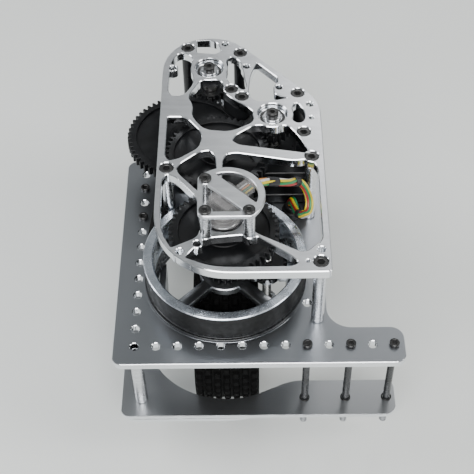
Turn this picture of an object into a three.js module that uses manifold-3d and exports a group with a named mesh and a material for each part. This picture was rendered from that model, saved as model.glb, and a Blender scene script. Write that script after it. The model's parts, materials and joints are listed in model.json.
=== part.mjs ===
// Steer-and-drive wheel module: a three-plate aluminium frame, a steering turntable turned by
// one motor through a spur pair and a toothed belt, and a wheel in the turntable's fork driven
// by a second motor through a planetary gearbox, spur gears, a shaft down the steering axis and
// a bevel pair. Millimetres, +Z up, +Y to the rear.
import * as THREE from "three";
import { mergeVertices } from "three/addons/utils/BufferGeometryUtils.js";
import Module from "manifold-3d";

const wasm = await Module();
wasm.setup();

// ---- driving dimensions ---------------------------------------------------------------
// Heights are measured from the top of the middle plate, and plan positions from the hole at
// its front left corner. The whole assembly is then shifted so that the origin lies on the
// underside of the middle plate's arm, midway between two holes of the front row.
const PITCH = 12.7; // bolt-hole grid
const GAP = 0.3; // between pieces that touch
const MID_T = 4.76;
const TOP_Z = 47.65; // underside of the top plate
const TOP_T = 6.35;
const TOP_FACE = TOP_Z + TOP_T;
const LOWER_FACE = -56.6; // top of the lower plate
const SHEET_T = 3.175; // lower plate and the plate screwed under it
const EDGE = 12.7; // grid line to plate edge
const ORIGIN_X = 9.5 * PITCH;

const MODULE = 1.27; // 20 diametral pitch
const HTD = 5; // belt pitch
const STEER = [53.4, 52.6]; // steering axis
const WHEEL_Z = -50.2;
const WHEEL_R = 49.2;
const WHEEL_HALF = 19;
const MOTOR_R = 29.7;
const MOTOR_LENGTH = 60;
const BOLT_CIRCLE = 25.4; // radius of the motors' bolt circle
const BOSS_BORE = 9.525;
const HOUSING_TOP = 28; // planetary gearbox above the middle plate
const STANDOFF_R = 4.76;

const TEETH = {
  drive: 50, hub: 50, drivePinion: 17, steering: 58, steeringPinion: 16, transfer: 20,
  bevelPinion: 16, bevelGear: 32,
};
const BELT = { ring: 60, small: 18, width: 15, z: 4.2, back: 1.16, pitchLine: 0.5715, centres: 91.29 };
const PLANETARY = { sun: 12, planet: 15, ring: 42, module: 1, z: 5, face: 8 };

// ---- small vector and gear-train helpers ----------------------------------------------
const polar = (r, a, c = [0, 0]) => [c[0] + r * Math.cos(a), c[1] + r * Math.sin(a)];
const direction = (a, b) => Math.atan2(b[1] - a[1], b[0] - a[0]);
const meshDistance = (n, m) => (MODULE * (n + m)) / 2;
const pitchRadius = (n, m = MODULE) => (n * m) / 2;
const beltRadius = (n) => (n * HTD) / (2 * Math.PI);

// The point at distance ra from a and rb from b, on the left of the way from a to b.
function meshPoint(a, ra, b, rb) {
  const d = Math.hypot(b[0] - a[0], b[1] - a[1]);
  const along = (ra * ra - rb * rb + d * d) / (2 * d);
  const aside = Math.sqrt(ra * ra - along * along);
  const dir = direction(a, b);
  return polar(aside, dir + Math.PI / 2, polar(along, dir, a));
}

// Angle of a tooth of the second gear when the first has a tooth at phase.
const meshPhase = (phase, n, dir, m) => dir + Math.PI - ((phase - dir) * n) / m + Math.PI / m;

const HUB = polar(meshDistance(TEETH.drive, TEETH.hub), 1.6423, STEER);
const STEER_MOTOR = [43.2, 185];
const DRIVE_MOTOR = polar(meshDistance(TEETH.hub, TEETH.drivePinion), 0.6068, HUB);
const COUNTER = meshPoint(
  STEER, BELT.centres, STEER_MOTOR, meshDistance(TEETH.steering, TEETH.steeringPinion),
);
const TRANSFER = [STEER[0] + meshDistance(TEETH.transfer, TEETH.transfer), STEER[1]];

// Gear planes, low face and width.
const DRIVE_PLANE = [37.5, 6.35];
const HUB_PLANE = [37.5, 7];
const STEERING_PLANE = [30.3, 6.35];
const TRANSFER_PLANE = [7, 8];

// ---- materials --------------------------------------------------------------------------
const metal = (color, roughness) => new THREE.MeshStandardMaterial({ color, roughness, metalness: 1 });
const plastic = (color, roughness) => new THREE.MeshStandardMaterial({ color, roughness, metalness: 0 });
const ALUMINIUM = metal(0xb9bcbe, 0.35);
const TURNED = metal(0xc7cacc, 0.25);
const ANODISED = metal(0x17181b, 0.45);
const BLACK_OXIDE = metal(0x1b1b1d, 0.4);
const STEEL = metal(0x8c8f93, 0.3);
const RUBBER = plastic(0x111111, 0.8);
const CLEAR = new THREE.MeshStandardMaterial({
  color: 0xd8d2cc, roughness: 0.2, metalness: 0, transparent: true, opacity: 0.45,
});
const WIRE = plastic(0xd6b414, 0.5);
const SLEEVE = plastic(0x141416, 0.6);

// ---- solids -------------------------------------------------------------------------------
function solid(geometry) {
  const bare = geometry.clone();
  for (const name of Object.keys(bare.attributes)) {
    if (name !== "position") bare.deleteAttribute(name);
  }
  const merged = mergeVertices(bare, 1e-4);
  return new wasm.Manifold(
    new wasm.Mesh({
      numProp: 3,
      vertProperties: merged.attributes.position.array,
      triVerts: new Uint32Array(merged.index.array),
    }),
  );
}

function geometryOf(body) {
  const mesh = body.getMesh();
  const geometry = new THREE.BufferGeometry();
  geometry.setAttribute("position", new THREE.BufferAttribute(mesh.vertProperties, 3));
  geometry.setIndex(new THREE.BufferAttribute(mesh.triVerts, 1));
  geometry.computeVertexNormals();
  return geometry;
}

const union = (...bodies) => bodies.reduce((a, b) => a.add(b));
const cut = (body, ...tools) => tools.reduce((a, b) => a.subtract(b), body);

function cylinder(r, z, height, at = [0, 0], sides = 24, topR = r) {
  const geometry = new THREE.CylinderGeometry(topR, r, height, sides);
  geometry.rotateX(Math.PI / 2);
  geometry.translate(at[0], at[1], z + height / 2);
  return solid(geometry);
}

function tube(inner, outer, z, height, at, sides = 24) {
  return cut(cylinder(outer, z, height, at, sides), cylinder(inner, z - 1, height + 2, at, sides));
}

function extrude(shape, z, height, segments = 4) {
  const geometry = new THREE.ExtrudeGeometry(shape, {
    depth: height, bevelEnabled: false, curveSegments: segments,
  });
  geometry.translate(0, 0, z);
  return solid(geometry);
}

// A closed outline through the points, each corner rounded to radius r.
function roundedOutline(points, r, Kind = THREE.Shape) {
  const outline = new Kind();
  const count = points.length;
  points.forEach((p, i) => {
    const before = points[(i + count - 1) % count];
    const after = points[(i + 1) % count];
    const step = (q) => {
      const d = Math.hypot(q[0] - p[0], q[1] - p[1]);
      const reach = Math.min(r, d * 0.4) / d;
      return [p[0] + (q[0] - p[0]) * reach, p[1] + (q[1] - p[1]) * reach];
    };
    const a = step(before);
    const b = step(after);
    if (i === 0) outline.moveTo(a[0], a[1]);
    else outline.lineTo(a[0], a[1]);
    outline.quadraticCurveTo(p[0], p[1], b[0], b[1]);
  });
  outline.closePath();
  return outline;
}

// ---- gears --------------------------------------------------------------------------------
const involute = (angle) => Math.tan(angle) - angle;
const PRESSURE = (20 * Math.PI) / 180;

// Half the angle that a tooth covers at radius r.
function halfTooth(r, pitchR, module, backlash) {
  const base = pitchR * Math.cos(PRESSURE);
  const at = r > base ? involute(Math.acos(base / r)) : 0;
  return (Math.PI * module - 2 * backlash) / (4 * pitchR) + involute(PRESSURE) - at;
}

// Outline of a spur gear: straight flanks from root to tip.
function gearOutline(teeth, phase, centre, options = {}) {
  const { module = MODULE, backlash = 0.12, addendum = 0.75 } = options;
  const pitchR = pitchRadius(teeth, module);
  const root = pitchR - 1.2 * module;
  const tip = pitchR + addendum * module;
  const rootHalf = Math.min(halfTooth(root, pitchR, module, backlash), (Math.PI / teeth) * 0.86);
  const tipHalf = halfTooth(tip, pitchR, module, backlash);
  const points = [];
  for (let i = 0; i < teeth; i++) {
    const middle = phase + (2 * Math.PI * i) / teeth;
    points.push(
      polar(root, middle - rootHalf, centre), polar(tip, middle - tipHalf, centre),
      polar(tip, middle + tipHalf, centre), polar(root, middle + rootHalf, centre),
    );
  }
  return new THREE.Shape(points.map(([x, y]) => new THREE.Vector2(x, y)));
}

function spurGear(teeth, phase, centre, [z, width], bore, options) {
  return cut(
    extrude(gearOutline(teeth, phase, centre, options), z, width),
    cylinder(bore, z - 1, width + 2, centre, 20),
  );
}

// Straight bevel gear about +Z with its apex at the origin. Every section is the large end
// scaled towards the apex.
function bevelGear(teeth, mate, face, phase) {
  const pitchR = pitchRadius(teeth);
  const cone = Math.atan2(teeth, mate);
  const virtualR = pitchR / Math.cos(cone);
  const coneDistance = pitchR / Math.sin(cone);
  const small = 1 - face / coneDistance;
  const steps = [-1.2 * MODULE, 0.75 * MODULE];
  const half = steps.map((a) => (halfTooth(virtualR + a, virtualR, MODULE, 0.22) * virtualR) / pitchR);
  half[0] = Math.min(half[0], (Math.PI / teeth) * 0.86);
  const end = [];
  for (let i = 0; i < teeth; i++) {
    const middle = phase + (2 * Math.PI * i) / teeth;
    for (const [k, side] of [[0, -1], [1, -1], [1, 1], [0, 1]]) {
      const r = pitchR + steps[k] * Math.cos(cone);
      const z = coneDistance * Math.cos(cone) - steps[k] * Math.sin(cone);
      end.push([...polar(r, middle + side * half[k]), z]);
    }
  }
  const count = end.length;
  const back = end[0][2];
  const points = [
    ...end, ...end.map((p) => p.map((v) => v * small)), [0, 0, back], [0, 0, back * small],
  ];
  const faces = [];
  for (let i = 0; i < count; i++) {
    const j = (i + 1) % count;
    faces.push([i + count, j + count, j], [i + count, j, i]);
    faces.push([2 * count, i, j], [2 * count + 1, j + count, i + count]);
  }
  const geometry = new THREE.BufferGeometry();
  geometry.setAttribute("position", new THREE.Float32BufferAttribute(points.flat(), 3));
  geometry.setIndex(faces.flat());
  return geometry;
}

// ---- the assembly -------------------------------------------------------------------------
const assembly = new THREE.Group();
assembly.position.set(-ORIGIN_X, 0, MID_T);

function add(name, body, material) {
  const mesh = new THREE.Mesh(geometryOf(body), material);
  mesh.name = name;
  assembly.add(mesh);
}

const boltsOn = (centre, degrees) =>
  degrees.map((d) => polar(BOLT_CIRCLE, (d * Math.PI) / 180, centre));
const STEER_BOLTS = boltsOn(STEER_MOTOR, [125, 36]);
const DRIVE_BOLTS = boltsOn(DRIVE_MOTOR, [49, -41]);
const BRIDGE_BOLTS = [...boltsOn(STEER_MOTOR, [-55]), ...boltsOn(DRIVE_MOTOR, [139])];
const STANDOFFS = { front_right: [108.2, 19.05], left: [18.6, 93.6], right: [106.9, 102.1] };
const POSTS = [[43.4, 64.5], [43.6, 39.8], [68.3, 39.8]];
const RAIL_BOLTS = [8, 10, 12].map((i) => [i * PITCH, 0]);

// -- plates --
const LOBE_R = 30.48; // round ends of the plates about the motors
const SIDE_LEFT = 12.7;
const SIDE_RIGHT = 114.3;

// The rear of a plate: up its right side, round both motors, to the top of its left side.
function motorLobes(outline) {
  const normal = direction(STEER_MOTOR, DRIVE_MOTOR) + Math.PI / 2;
  outline.lineTo(SIDE_RIGHT, DRIVE_MOTOR[1]);
  outline.absarc(SIDE_RIGHT - LOBE_R, DRIVE_MOTOR[1], LOBE_R, 0, normal, false);
  outline.absarc(SIDE_LEFT + LOBE_R, STEER_MOTOR[1], LOBE_R, normal, Math.PI, false);
}

function topPlate() {
  const front = 11.5;
  const corner = 44.6; // round front left corner
  const outline = new THREE.Shape();
  outline.moveTo(SIDE_LEFT + corner, front);
  outline.lineTo(SIDE_RIGHT - 3, front);
  outline.quadraticCurveTo(SIDE_RIGHT, front, SIDE_RIGHT, front + 3);
  motorLobes(outline);
  outline.lineTo(SIDE_LEFT, front + corner);
  outline.absarc(SIDE_LEFT + corner, front + corner, corner, Math.PI, 1.5 * Math.PI, false);

  const pockets = [
    [[17.8, 174], [17.8, 160], [23, 158.5], [27, 159.5], [33, 171], [30, 187], [32, 196], [24, 201],
      [18.6, 192]],
    [[35, 212.3], [46, 212.3], [49.5, 207], [49.5, 199.5], [35.5, 201.5]],
    [[55.5, 194.5], [61, 194.5], [64.5, 186], [65.5, 174], [67.5, 163.5], [63.5, 165], [55.5, 172]],
    [[71, 176], [75, 188], [88.8, 172], [84.5, 168], [84.5, 157], [92, 154.8], [75.5, 151.5], [69.5, 158]],
    [[39, 173], [49, 173], [52.5, 168], [52.5, 160], [60, 151.5], [66, 148], [72, 140.5], [71.5, 133.5],
      [57, 125.3], [41.5, 127.3], [33.5, 139], [34.5, 150], [30.3, 157]],
    [[18.2, 137.5], [28.5, 137.5], [39, 123], [37.5, 111.3], [23, 100.5], [18, 101.5]],
    [[59.5, 119.3], [73.5, 130], [84, 126.8], [92, 129.8], [98, 121], [104.5, 105.6], [60.2, 114]],
    [[96, 145], [99.3, 152], [105, 140.5], [103, 130.7], [95.6, 133]],
    [[40, 107.5], [47.3, 105], [49.2, 66], [41, 72], [25.5, 90.5], [26, 95.3]],
    [[53.3, 101.5], [58.2, 105.4], [96.3, 97.3], [104, 99], [109.4, 94], [109.4, 34], [105.3, 32.7],
      [99.7, 25.8], [71, 42.4], [69, 56], [61, 68], [53, 70]],
    [[16.8, 85.7], [22, 87.3], [36.9, 68], [40, 52], [38.5, 39], [24, 31.5], [18.6, 42], [17.2, 56]],
    [[42, 36], [64, 38.4], [71.5, 38], [94.2, 20.5], [94.2, 16.8], [57, 16.6], [46, 17.6], [33, 23.4]],
  ];
  for (const pocket of pockets) {
    outline.holes.push(new THREE.Path(roundedOutline(pocket, 2.5).getPoints(1)));
  }
  const plate = extrude(outline, TOP_Z, TOP_T, 5);

  const disc = (at, radius, sides = 20) => cylinder(radius, TOP_Z, TOP_T, at, sides);
  const bore = (at, radius, sides = 8) => cylinder(radius, TOP_Z - 1, TOP_T + 2, at, sides);
  const counterbore = (at) => cylinder(4.5, TOP_FACE - 4.4, 6, at, 8);
  const tapped = [
    [19.2, 185.5], [53.7, 209.2], [67.7, 185.9], [88.7, 165], [107.8, 148.4], [109, 27.7],
    [38.3, 33.1], [28.9, 27.5],
  ];
  const bolts = [...STEER_BOLTS, ...DRIVE_BOLTS, ...BRIDGE_BOLTS, ...Object.values(STANDOFFS)];
  const bosses = [
    disc(STEER_MOTOR, 13.2), disc(DRIVE_MOTOR, 13.4), disc(HUB, 10.4), disc(STEER, 15.3, 24),
    ...bolts.map((at) => disc(at, 6.1, 10)),
    ...tapped.map((at) => disc(at, 4.6, 8)),
    ...POSTS.map((at) => disc(at, 4.8, 8)),
  ];
  const holes = [
    bore(STEER_MOTOR, BOSS_BORE, 20), bore(DRIVE_MOTOR, BOSS_BORE, 20), bore(STEER, 11.4, 24),
    ...bolts.map((at) => bore(at, 2.65, 6)), ...bolts.map(counterbore),
    ...tapped.map((at) => bore(at, 2.3)), bore([108.3, 136.1], 1.6, 8), bore([100.9, 19.4], 1.1, 8),
    cylinder(4.2, TOP_Z - 1, 5, HUB, 16),
  ];
  return cut(union(plate, ...bosses), ...holes);
}

// Grid columns and rows that carry a hole, from the front left hole.
const LEFT_COLUMN = Array.from({ length: 11 }, (_, i) => [0, (i + 1) * PITCH]);
const FRONT_ROW = Array.from({ length: 13 }, (_, i) => [i * PITCH, 0]);
const REAR_EDGE = 12 * PITCH;

// Outline of the middle plate: a wide plate with an arm to the right along its front edge.
function midOutline() {
  const left = -EDGE;
  const front = -EDGE;
  const arm = 158.75;
  const fillet = 14;
  const shape = new THREE.Shape();
  shape.moveTo(left + 6, front);
  shape.lineTo(arm - 6.35, front);
  shape.absarc(arm - 6.35, front + 6.35, 6.35, -Math.PI / 2, 0, false);
  shape.lineTo(arm, EDGE - 8);
  shape.absarc(arm - 8, EDGE - 8, 8, 0, Math.PI / 2, false);
  shape.lineTo(SIDE_RIGHT + fillet, EDGE);
  shape.absarc(SIDE_RIGHT + fillet, EDGE + fillet, fillet, -Math.PI / 2, -Math.PI, true);
  motorLobes(shape);
  shape.lineTo(SIDE_LEFT, REAR_EDGE);
  shape.lineTo(left + 6, REAR_EDGE);
  shape.absarc(left + 6, REAR_EDGE - 6, 6, Math.PI / 2, Math.PI, false);
  shape.lineTo(left, front + 6);
  shape.absarc(left + 6, front + 6, 6, Math.PI, 1.5 * Math.PI, false);
  return shape;
}

const TURNTABLE_BORE = 50;
const SUN_BORE = 12;
function midPlate() {
  const bore = (at, r, sides = 6) => cylinder(r, -MID_T - 1, MID_T + 2, at, sides);
  return cut(
    extrude(midOutline(), -MID_T, MID_T, 4),
    bore(STEER, TURNTABLE_BORE, 44), bore(DRIVE_MOTOR, SUN_BORE, 20), bore(STEER_MOTOR, BOSS_BORE, 20),
    ...[...FRONT_ROW, ...LEFT_COLUMN, [102.8, 30.7]].map((at) => bore(at, 2.7)),
    bore(COUNTER, 3.4, 10),
  );
}

// Lower plate: a strip under the left column, and a foot under the front row whose rear edge
// sweeps round the wheel.
const WHEEL_WELL = 53.4;
function lowerPlate() {
  const shape = new THREE.Shape();
  const left = -EDGE;
  const arm = 158;
  shape.moveTo(left + 6, -EDGE);
  shape.lineTo(arm - 8, -EDGE);
  shape.absarc(arm - 8, -EDGE + 8, 8, -Math.PI / 2, 0, false);
  shape.lineTo(arm, EDGE - 6);
  shape.absarc(arm - 6, EDGE - 6, 6, 0, Math.PI / 2, false);
  shape.lineTo(104, EDGE);
  shape.bezierCurveTo(95, EDGE + 0.5, 90, 11.5, 82, 7.2);
  shape.absarc(STEER[0], STEER[1], WHEEL_WELL, -Math.PI / 2 + 0.56, -Math.PI * 1.18, true);
  shape.lineTo(8, REAR_EDGE);
  shape.lineTo(left + 6, REAR_EDGE);
  shape.absarc(left + 6, REAR_EDGE - 6, 6, Math.PI / 2, Math.PI, false);
  shape.lineTo(left, -EDGE + 6);
  shape.absarc(left + 6, -EDGE + 6, 6, Math.PI, 1.5 * Math.PI, false);
  const z = LOWER_FACE - SHEET_T;
  const holes = [[0, 0], [0, 8 * PITCH], [0, 10 * PITCH], ...RAIL_BOLTS];
  return cut(
    extrude(shape, z, SHEET_T, 6),
    ...holes.map((at) => cylinder(2.9, z - 1, SHEET_T + 2, at, 8)),
  );
}

function stiffenerPlate() {
  const outer = 65.2;
  const well = WHEEL_WELL + 2;
  const left = -EDGE + 0.6;
  const front = STEER[1] - outer;
  const shape = new THREE.Shape();
  shape.moveTo(STEER[0], front);
  shape.absarc(STEER[0], STEER[1], outer, -Math.PI / 2, -Math.PI / 2 + 0.62, false);
  shape.absarc(STEER[0], STEER[1], well, -Math.PI / 2 + 0.62, -Math.PI, true);
  shape.lineTo(left, STEER[1]);
  shape.lineTo(left, front + 10);
  shape.quadraticCurveTo(left, front, left + 10, front);
  const z = LOWER_FACE - 2 * SHEET_T - GAP;
  return cut(
    extrude(shape, z, SHEET_T, 8),
    cylinder(2.9, z - 1, SHEET_T + 2, [0, 0], 10),
  );
}

add("top_plate", topPlate(), ALUMINIUM);
add("mid_plate", midPlate(), ALUMINIUM);
add("lower_plate", lowerPlate(), ALUMINIUM);
add("lower_stiffener", stiffenerPlate(), ALUMINIUM);

// -- standoffs, spacer and rail bolts --
function standoff(at, low, high, r = STANDOFF_R) {
  return tube(2.2, r, low, high - low, at, 10);
}
for (const [name, at] of Object.entries(STANDOFFS)) {
  add("standoff_" + name, standoff(at, GAP, TOP_Z - GAP, 3.97), TURNED);
}
add("corner_spacer", standoff([0, 0], LOWER_FACE + GAP, -MID_T - GAP, 3.97), TURNED);
["rear_left", "rear_right"].forEach((name, i) =>
  add("steer_standoff_" + name, standoff(STEER_BOLTS[i], GAP, TOP_Z - GAP), ANODISED));
["rear", "right"].forEach((name, i) =>
  add("drive_standoff_" + name, standoff(DRIVE_BOLTS[i], HOUSING_TOP + GAP, TOP_Z - GAP), ANODISED));

// A short block joins the two bolt circles under the top plate.
const BRIDGE_R = 5.4;
function bridgeBlock() {
  const [a, b] = BRIDGE_BOLTS;
  const along = direction(a, b);
  const shape = new THREE.Shape();
  shape.absarc(a[0], a[1], BRIDGE_R, along + Math.PI / 2, along + 1.5 * Math.PI, false);
  shape.absarc(b[0], b[1], BRIDGE_R, along - Math.PI / 2, along + Math.PI / 2, false);
  const low = STEERING_PLANE[0] + STEERING_PLANE[1] + 0.4;
  return cut(
    extrude(shape, low, TOP_Z - GAP - low),
    ...BRIDGE_BOLTS.map((at) => cylinder(2.2, low - 1, 14, at, 8)),
  );
}
add("bridge_block", bridgeBlock(), ANODISED);

const RAIL_BOLT_TIP = -83;
RAIL_BOLTS.forEach((at, i) => {
  add("rail_bolt_" + (i + 1),
    union(cylinder(3, GAP, 1.8, at, 14), cylinder(2.2, RAIL_BOLT_TIP + 0.8, -RAIL_BOLT_TIP, at, 10),
      cylinder(1.7, RAIL_BOLT_TIP, 0.8, at, 10, 2.2)),
    BLACK_OXIDE);
});

// -- motors and planetary gearbox --
const MOTOR_FACE = -MID_T - GAP;
const MOTOR_BORE_DEPTH = 12;
function motorCan(at) {
  const rim = 1.6;
  const bottom = MOTOR_FACE - MOTOR_LENGTH;
  const can = union(
    cylinder(MOTOR_R, bottom + rim, MOTOR_LENGTH - 2 * rim, at, 28),
    cylinder(MOTOR_R - rim, bottom, rim, at, 28, MOTOR_R),
    cylinder(MOTOR_R, MOTOR_FACE - rim, rim, at, 28, MOTOR_R - rim),
  );
  return cut(can, cylinder(5.4, MOTOR_FACE - MOTOR_BORE_DEPTH, MOTOR_BORE_DEPTH + 1, at, 16));
}
add("steering_motor", motorCan(STEER_MOTOR), ANODISED);
add("drive_motor", motorCan(DRIVE_MOTOR), ANODISED);

const RING_R = pitchRadius(PLANETARY.ring, PLANETARY.module);
const RING_OUTER = RING_R + 2.6;
const OUTPUT_R = 4.75;
const CARRIER_Z = PLANETARY.z + PLANETARY.face + GAP;
const CARRIER_T = 2.4;

// Square gearbox with one corner cut back, so that the belt passes it.
function planetaryHousing() {
  const half = 27.4;
  const corner = 26.2; // flat of the cut corner from the axis
  const [x, y] = DRIVE_MOTOR;
  const away = (217.4 * Math.PI) / 180;
  const onCorner = (along) => [
    x + corner * Math.cos(away) - along * Math.sin(away),
    y + corner * Math.sin(away) + along * Math.cos(away),
  ];
  const onLeft = (half + corner * Math.cos(away)) / Math.sin(away);
  const onFront = (-half - corner * Math.sin(away)) / Math.cos(away);
  const outline = roundedOutline([
    [x + half, y - half], [x + half, y + half], [x - half, y + half], onCorner(onLeft), onCorner(onFront),
  ], 3);
  const inside = CARRIER_Z + CARRIER_T + 0.6;
  return cut(
    extrude(outline, GAP, HOUSING_TOP - GAP, 3),
    cylinder(RING_OUTER + 2 * GAP, -1, inside + 1, DRIVE_MOTOR, 24),
    cylinder(OUTPUT_R + GAP, 0, HOUSING_TOP + 2, DRIVE_MOTOR, 16),
  );
}
add("planetary_housing", planetaryHousing(), ANODISED);

// Internal ring gear: the outline of an external gear, used as the hole.
const PLANETARY_TEETH = { module: PLANETARY.module, backlash: 0.15, addendum: 0.7 };
function ringGear() {
  const shape = gearOutline(PLANETARY.ring, 0, DRIVE_MOTOR, {
    module: PLANETARY.module, backlash: -0.2, addendum: 1.15,
  });
  const z = PLANETARY.z - 1;
  const height = PLANETARY.face + 1.4;
  return cut(cylinder(RING_OUTER, z, height, DRIVE_MOTOR, 24), extrude(shape, z - 1, height + 2));
}
add("planetary_ring", ringGear(), STEEL);

// A motor output shaft with its retaining screw and washer on the end.
function outputShaft(at, bottom) {
  const end = TOP_FACE - 2.4;
  return union(
    cylinder(OUTPUT_R, bottom, end - bottom, at, 16),
    cylinder(5.6, end - 0.2, 1.2, at, 16),
    cylinder(3.9, end + 0.8, 3.6, at, 14),
  );
}

const PLANET_ARM = pitchRadius(PLANETARY.sun + PLANETARY.planet, PLANETARY.module);
const PLANET_ANGLES = [0, 1, 2].map((i) => (2 * Math.PI * i) / 3);
function carrier() {
  const pins = PLANET_ANGLES.map((a) =>
    cylinder(2, PLANETARY.z, CARRIER_Z - PLANETARY.z + 1, polar(PLANET_ARM, a, DRIVE_MOTOR), 10));
  return union(
    outputShaft(DRIVE_MOTOR, CARRIER_Z + 1),
    cylinder(18, CARRIER_Z, CARRIER_T, DRIVE_MOTOR, 24),
    ...pins,
  );
}
add("planet_carrier", carrier(), STEEL);
PLANET_ANGLES.forEach((angle, i) => {
  const centre = polar(PLANET_ARM, angle, DRIVE_MOTOR);
  const phase = meshPhase(0, PLANETARY.sun, angle, PLANETARY.planet);
  const plane = [PLANETARY.z, PLANETARY.face];
  add("planet_gear_" + (i + 1), spurGear(PLANETARY.planet, phase, centre, plane, 2.3, PLANETARY_TEETH), STEEL);
});
add("sun_gear", union(
  extrude(gearOutline(PLANETARY.sun, 0, DRIVE_MOTOR, PLANETARY_TEETH), PLANETARY.z, PLANETARY.face - 0.5),
  cylinder(4.2, MOTOR_FACE - 10, PLANETARY.z - MOTOR_FACE + 10.2, DRIVE_MOTOR, 14),
), STEEL);

// -- turntable and belt --
function beltBand() {
  const small = beltRadius(BELT.small);
  const large = beltRadius(BELT.ring);
  const dir = direction(STEER, COUNTER);
  const lean = Math.acos((large - small) / BELT.centres);
  const loop = (offset, Kind) => {
    const path = new Kind();
    path.absarc(COUNTER[0], COUNTER[1], small + offset, dir - lean, dir + lean, false);
    path.absarc(STEER[0], STEER[1], large + offset, dir + lean, dir - lean + 2 * Math.PI, false);
    path.closePath();
    return path;
  };
  const shape = loop(BELT.back, THREE.Shape);
  shape.holes.push(loop(-0.2, THREE.Path));
  return extrude(shape, BELT.z, BELT.width, 16);
}
add("steering_belt", beltBand(), RUBBER);

const SLEEVE_OUT = 46.4;
const SLEEVE_IN = 43.2;
const FLANGE_Z = -12;
const RIM_FLANGE_R = 49.3;
const SPOKE_Z = [0.6, 5.4];
function steeringPulley() {
  const low = BELT.z - 1;
  const high = BELT.z + BELT.width + 1;
  const ring = union(
    cylinder(beltRadius(BELT.ring) - BELT.pitchLine, low, high - low, STEER, 36),
    cylinder(RIM_FLANGE_R, high - 0.2, 1, STEER, 36),
    cylinder(RIM_FLANGE_R, low - 0.8, 0.9, STEER, 36),
    cylinder(SLEEVE_OUT, FLANGE_Z + 4, low - FLANGE_Z - 4, STEER, 36),
    cylinder(49.6, FLANGE_Z, 4.2, STEER, 36),
  );
  const open = cylinder(SLEEVE_IN, FLANGE_Z - 1, 50, STEER, 36);
  const [z, height] = SPOKE_Z;
  const hub = [cylinder(16, z, height, STEER, 20), cylinder(8.6, z, height, TRANSFER, 14)];
  const spoke = (angle, width, length) => {
    const bar = new THREE.BoxGeometry(length, width, height);
    bar.translate(length / 2, 0, z + height / 2);
    bar.rotateZ((angle * Math.PI) / 180);
    bar.translate(STEER[0], STEER[1], 0);
    return solid(bar);
  };
  const spokes = [45, 135, 225, 315].map((angle) => spoke(angle, 7.5, 44.6));
  return cut(
    union(cut(ring, open), ...hub, ...spokes, spoke(0, 12, 44.6)),
    cylinder(4.15, 0, 8, TRANSFER, 16), cylinder(2.2, 0, 8, STEER, 12),
  );
}
add("steering_pulley", steeringPulley(), ALUMINIUM);

const RACE_HEIGHT = MID_T + 1;
add("turntable_race_outer", tube(48.6, TURNTABLE_BORE - GAP, -MID_T, RACE_HEIGHT, STEER, 40), STEEL);
add("turntable_race_inner", tube(SLEEVE_OUT + GAP, 48.1, -MID_T, RACE_HEIGHT, STEER, 40), STEEL);

const FORK_X = 38; // inner face of each side plate from the steering axis
const FORK_T = 4;
const AXLE_R = 5;
const HANDED = { left: -FORK_X - FORK_T, right: FORK_X };
function fork(x) {
  const shape = new THREE.Shape();
  const top = FLANGE_Z - GAP;
  shape.moveTo(-20, top);
  shape.lineTo(-20, top - 8);
  shape.lineTo(-13, WHEEL_Z);
  shape.absarc(0, WHEEL_Z, 13, Math.PI, 2 * Math.PI, false);
  shape.lineTo(20, top - 8);
  shape.lineTo(20, top);
  shape.closePath();
  const geometry = new THREE.ExtrudeGeometry(shape, { depth: FORK_T, bevelEnabled: false, curveSegments: 10 });
  geometry.rotateX(Math.PI / 2);
  geometry.rotateZ(Math.PI / 2);
  geometry.translate(STEER[0] + x, STEER[1], 0);
  return cut(solid(geometry), axle(AXLE_R + GAP));
}

// A cylinder along the wheel's axis, from x0 to x1 of the steering axis.
function axle(r, x0 = -44, x1 = 44, sides = 20) {
  const geometry = new THREE.CylinderGeometry(r, r, x1 - x0, sides);
  geometry.rotateZ(-Math.PI / 2);
  geometry.translate(STEER[0] + (x0 + x1) / 2, STEER[1], WHEEL_Z);
  return solid(geometry);
}
for (const [name, x] of Object.entries(HANDED)) add("fork_" + name, fork(x), ALUMINIUM);
add("wheel_axle", axle(AXLE_R, -43.5, 43.5), STEEL);

// -- wheel and bevel gears --
const RIM_R = 43;
const DISH_R = 37;
const WEB = [-11, 13.3];
function wheelRim() {
  return cut(
    axle(RIM_R, -WHEEL_HALF, WHEEL_HALF, 30),
    axle(DISH_R, WEB[1], 30, 24), axle(DISH_R, -30, WEB[0], 24), axle(AXLE_R + GAP, -44, 44, 12),
  );
}
function tread() {
  const half = WHEEL_HALF + 1;
  return cut(
    union(axle(WHEEL_R, -half + 1.5, half - 1.5, 36), axle(WHEEL_R - 2, -half, half, 36)),
    axle(RIM_R + 0.5, -30, 30, 30),
  );
}
add("wheel_rim", wheelRim(), ALUMINIUM);
add("wheel_tread", tread(), RUBBER);

const BEVEL_FACE = 7;
const PINION_BORE = 3.1;
function bevelWheel() {
  const geometry = bevelGear(TEETH.bevelGear, TEETH.bevelPinion, BEVEL_FACE, Math.PI / TEETH.bevelGear);
  geometry.rotateY(-Math.PI / 2);
  geometry.translate(TRANSFER[0], TRANSFER[1], WHEEL_Z);
  return cut(solid(geometry), axle(AXLE_R + GAP, -44, 44, 12));
}
function bevelPinion() {
  const geometry = bevelGear(TEETH.bevelPinion, TEETH.bevelGear, BEVEL_FACE, Math.PI);
  geometry.translate(TRANSFER[0], TRANSFER[1], WHEEL_Z);
  const back = WHEEL_Z + pitchRadius(TEETH.bevelGear);
  return cut(
    union(solid(geometry), cylinder(6, back, 8, TRANSFER, 12)),
    cylinder(PINION_BORE, back - 20, 40, TRANSFER, 10),
  );
}
add("bevel_gear", bevelWheel(), STEEL);
add("bevel_pinion", bevelPinion(), STEEL);

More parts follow.
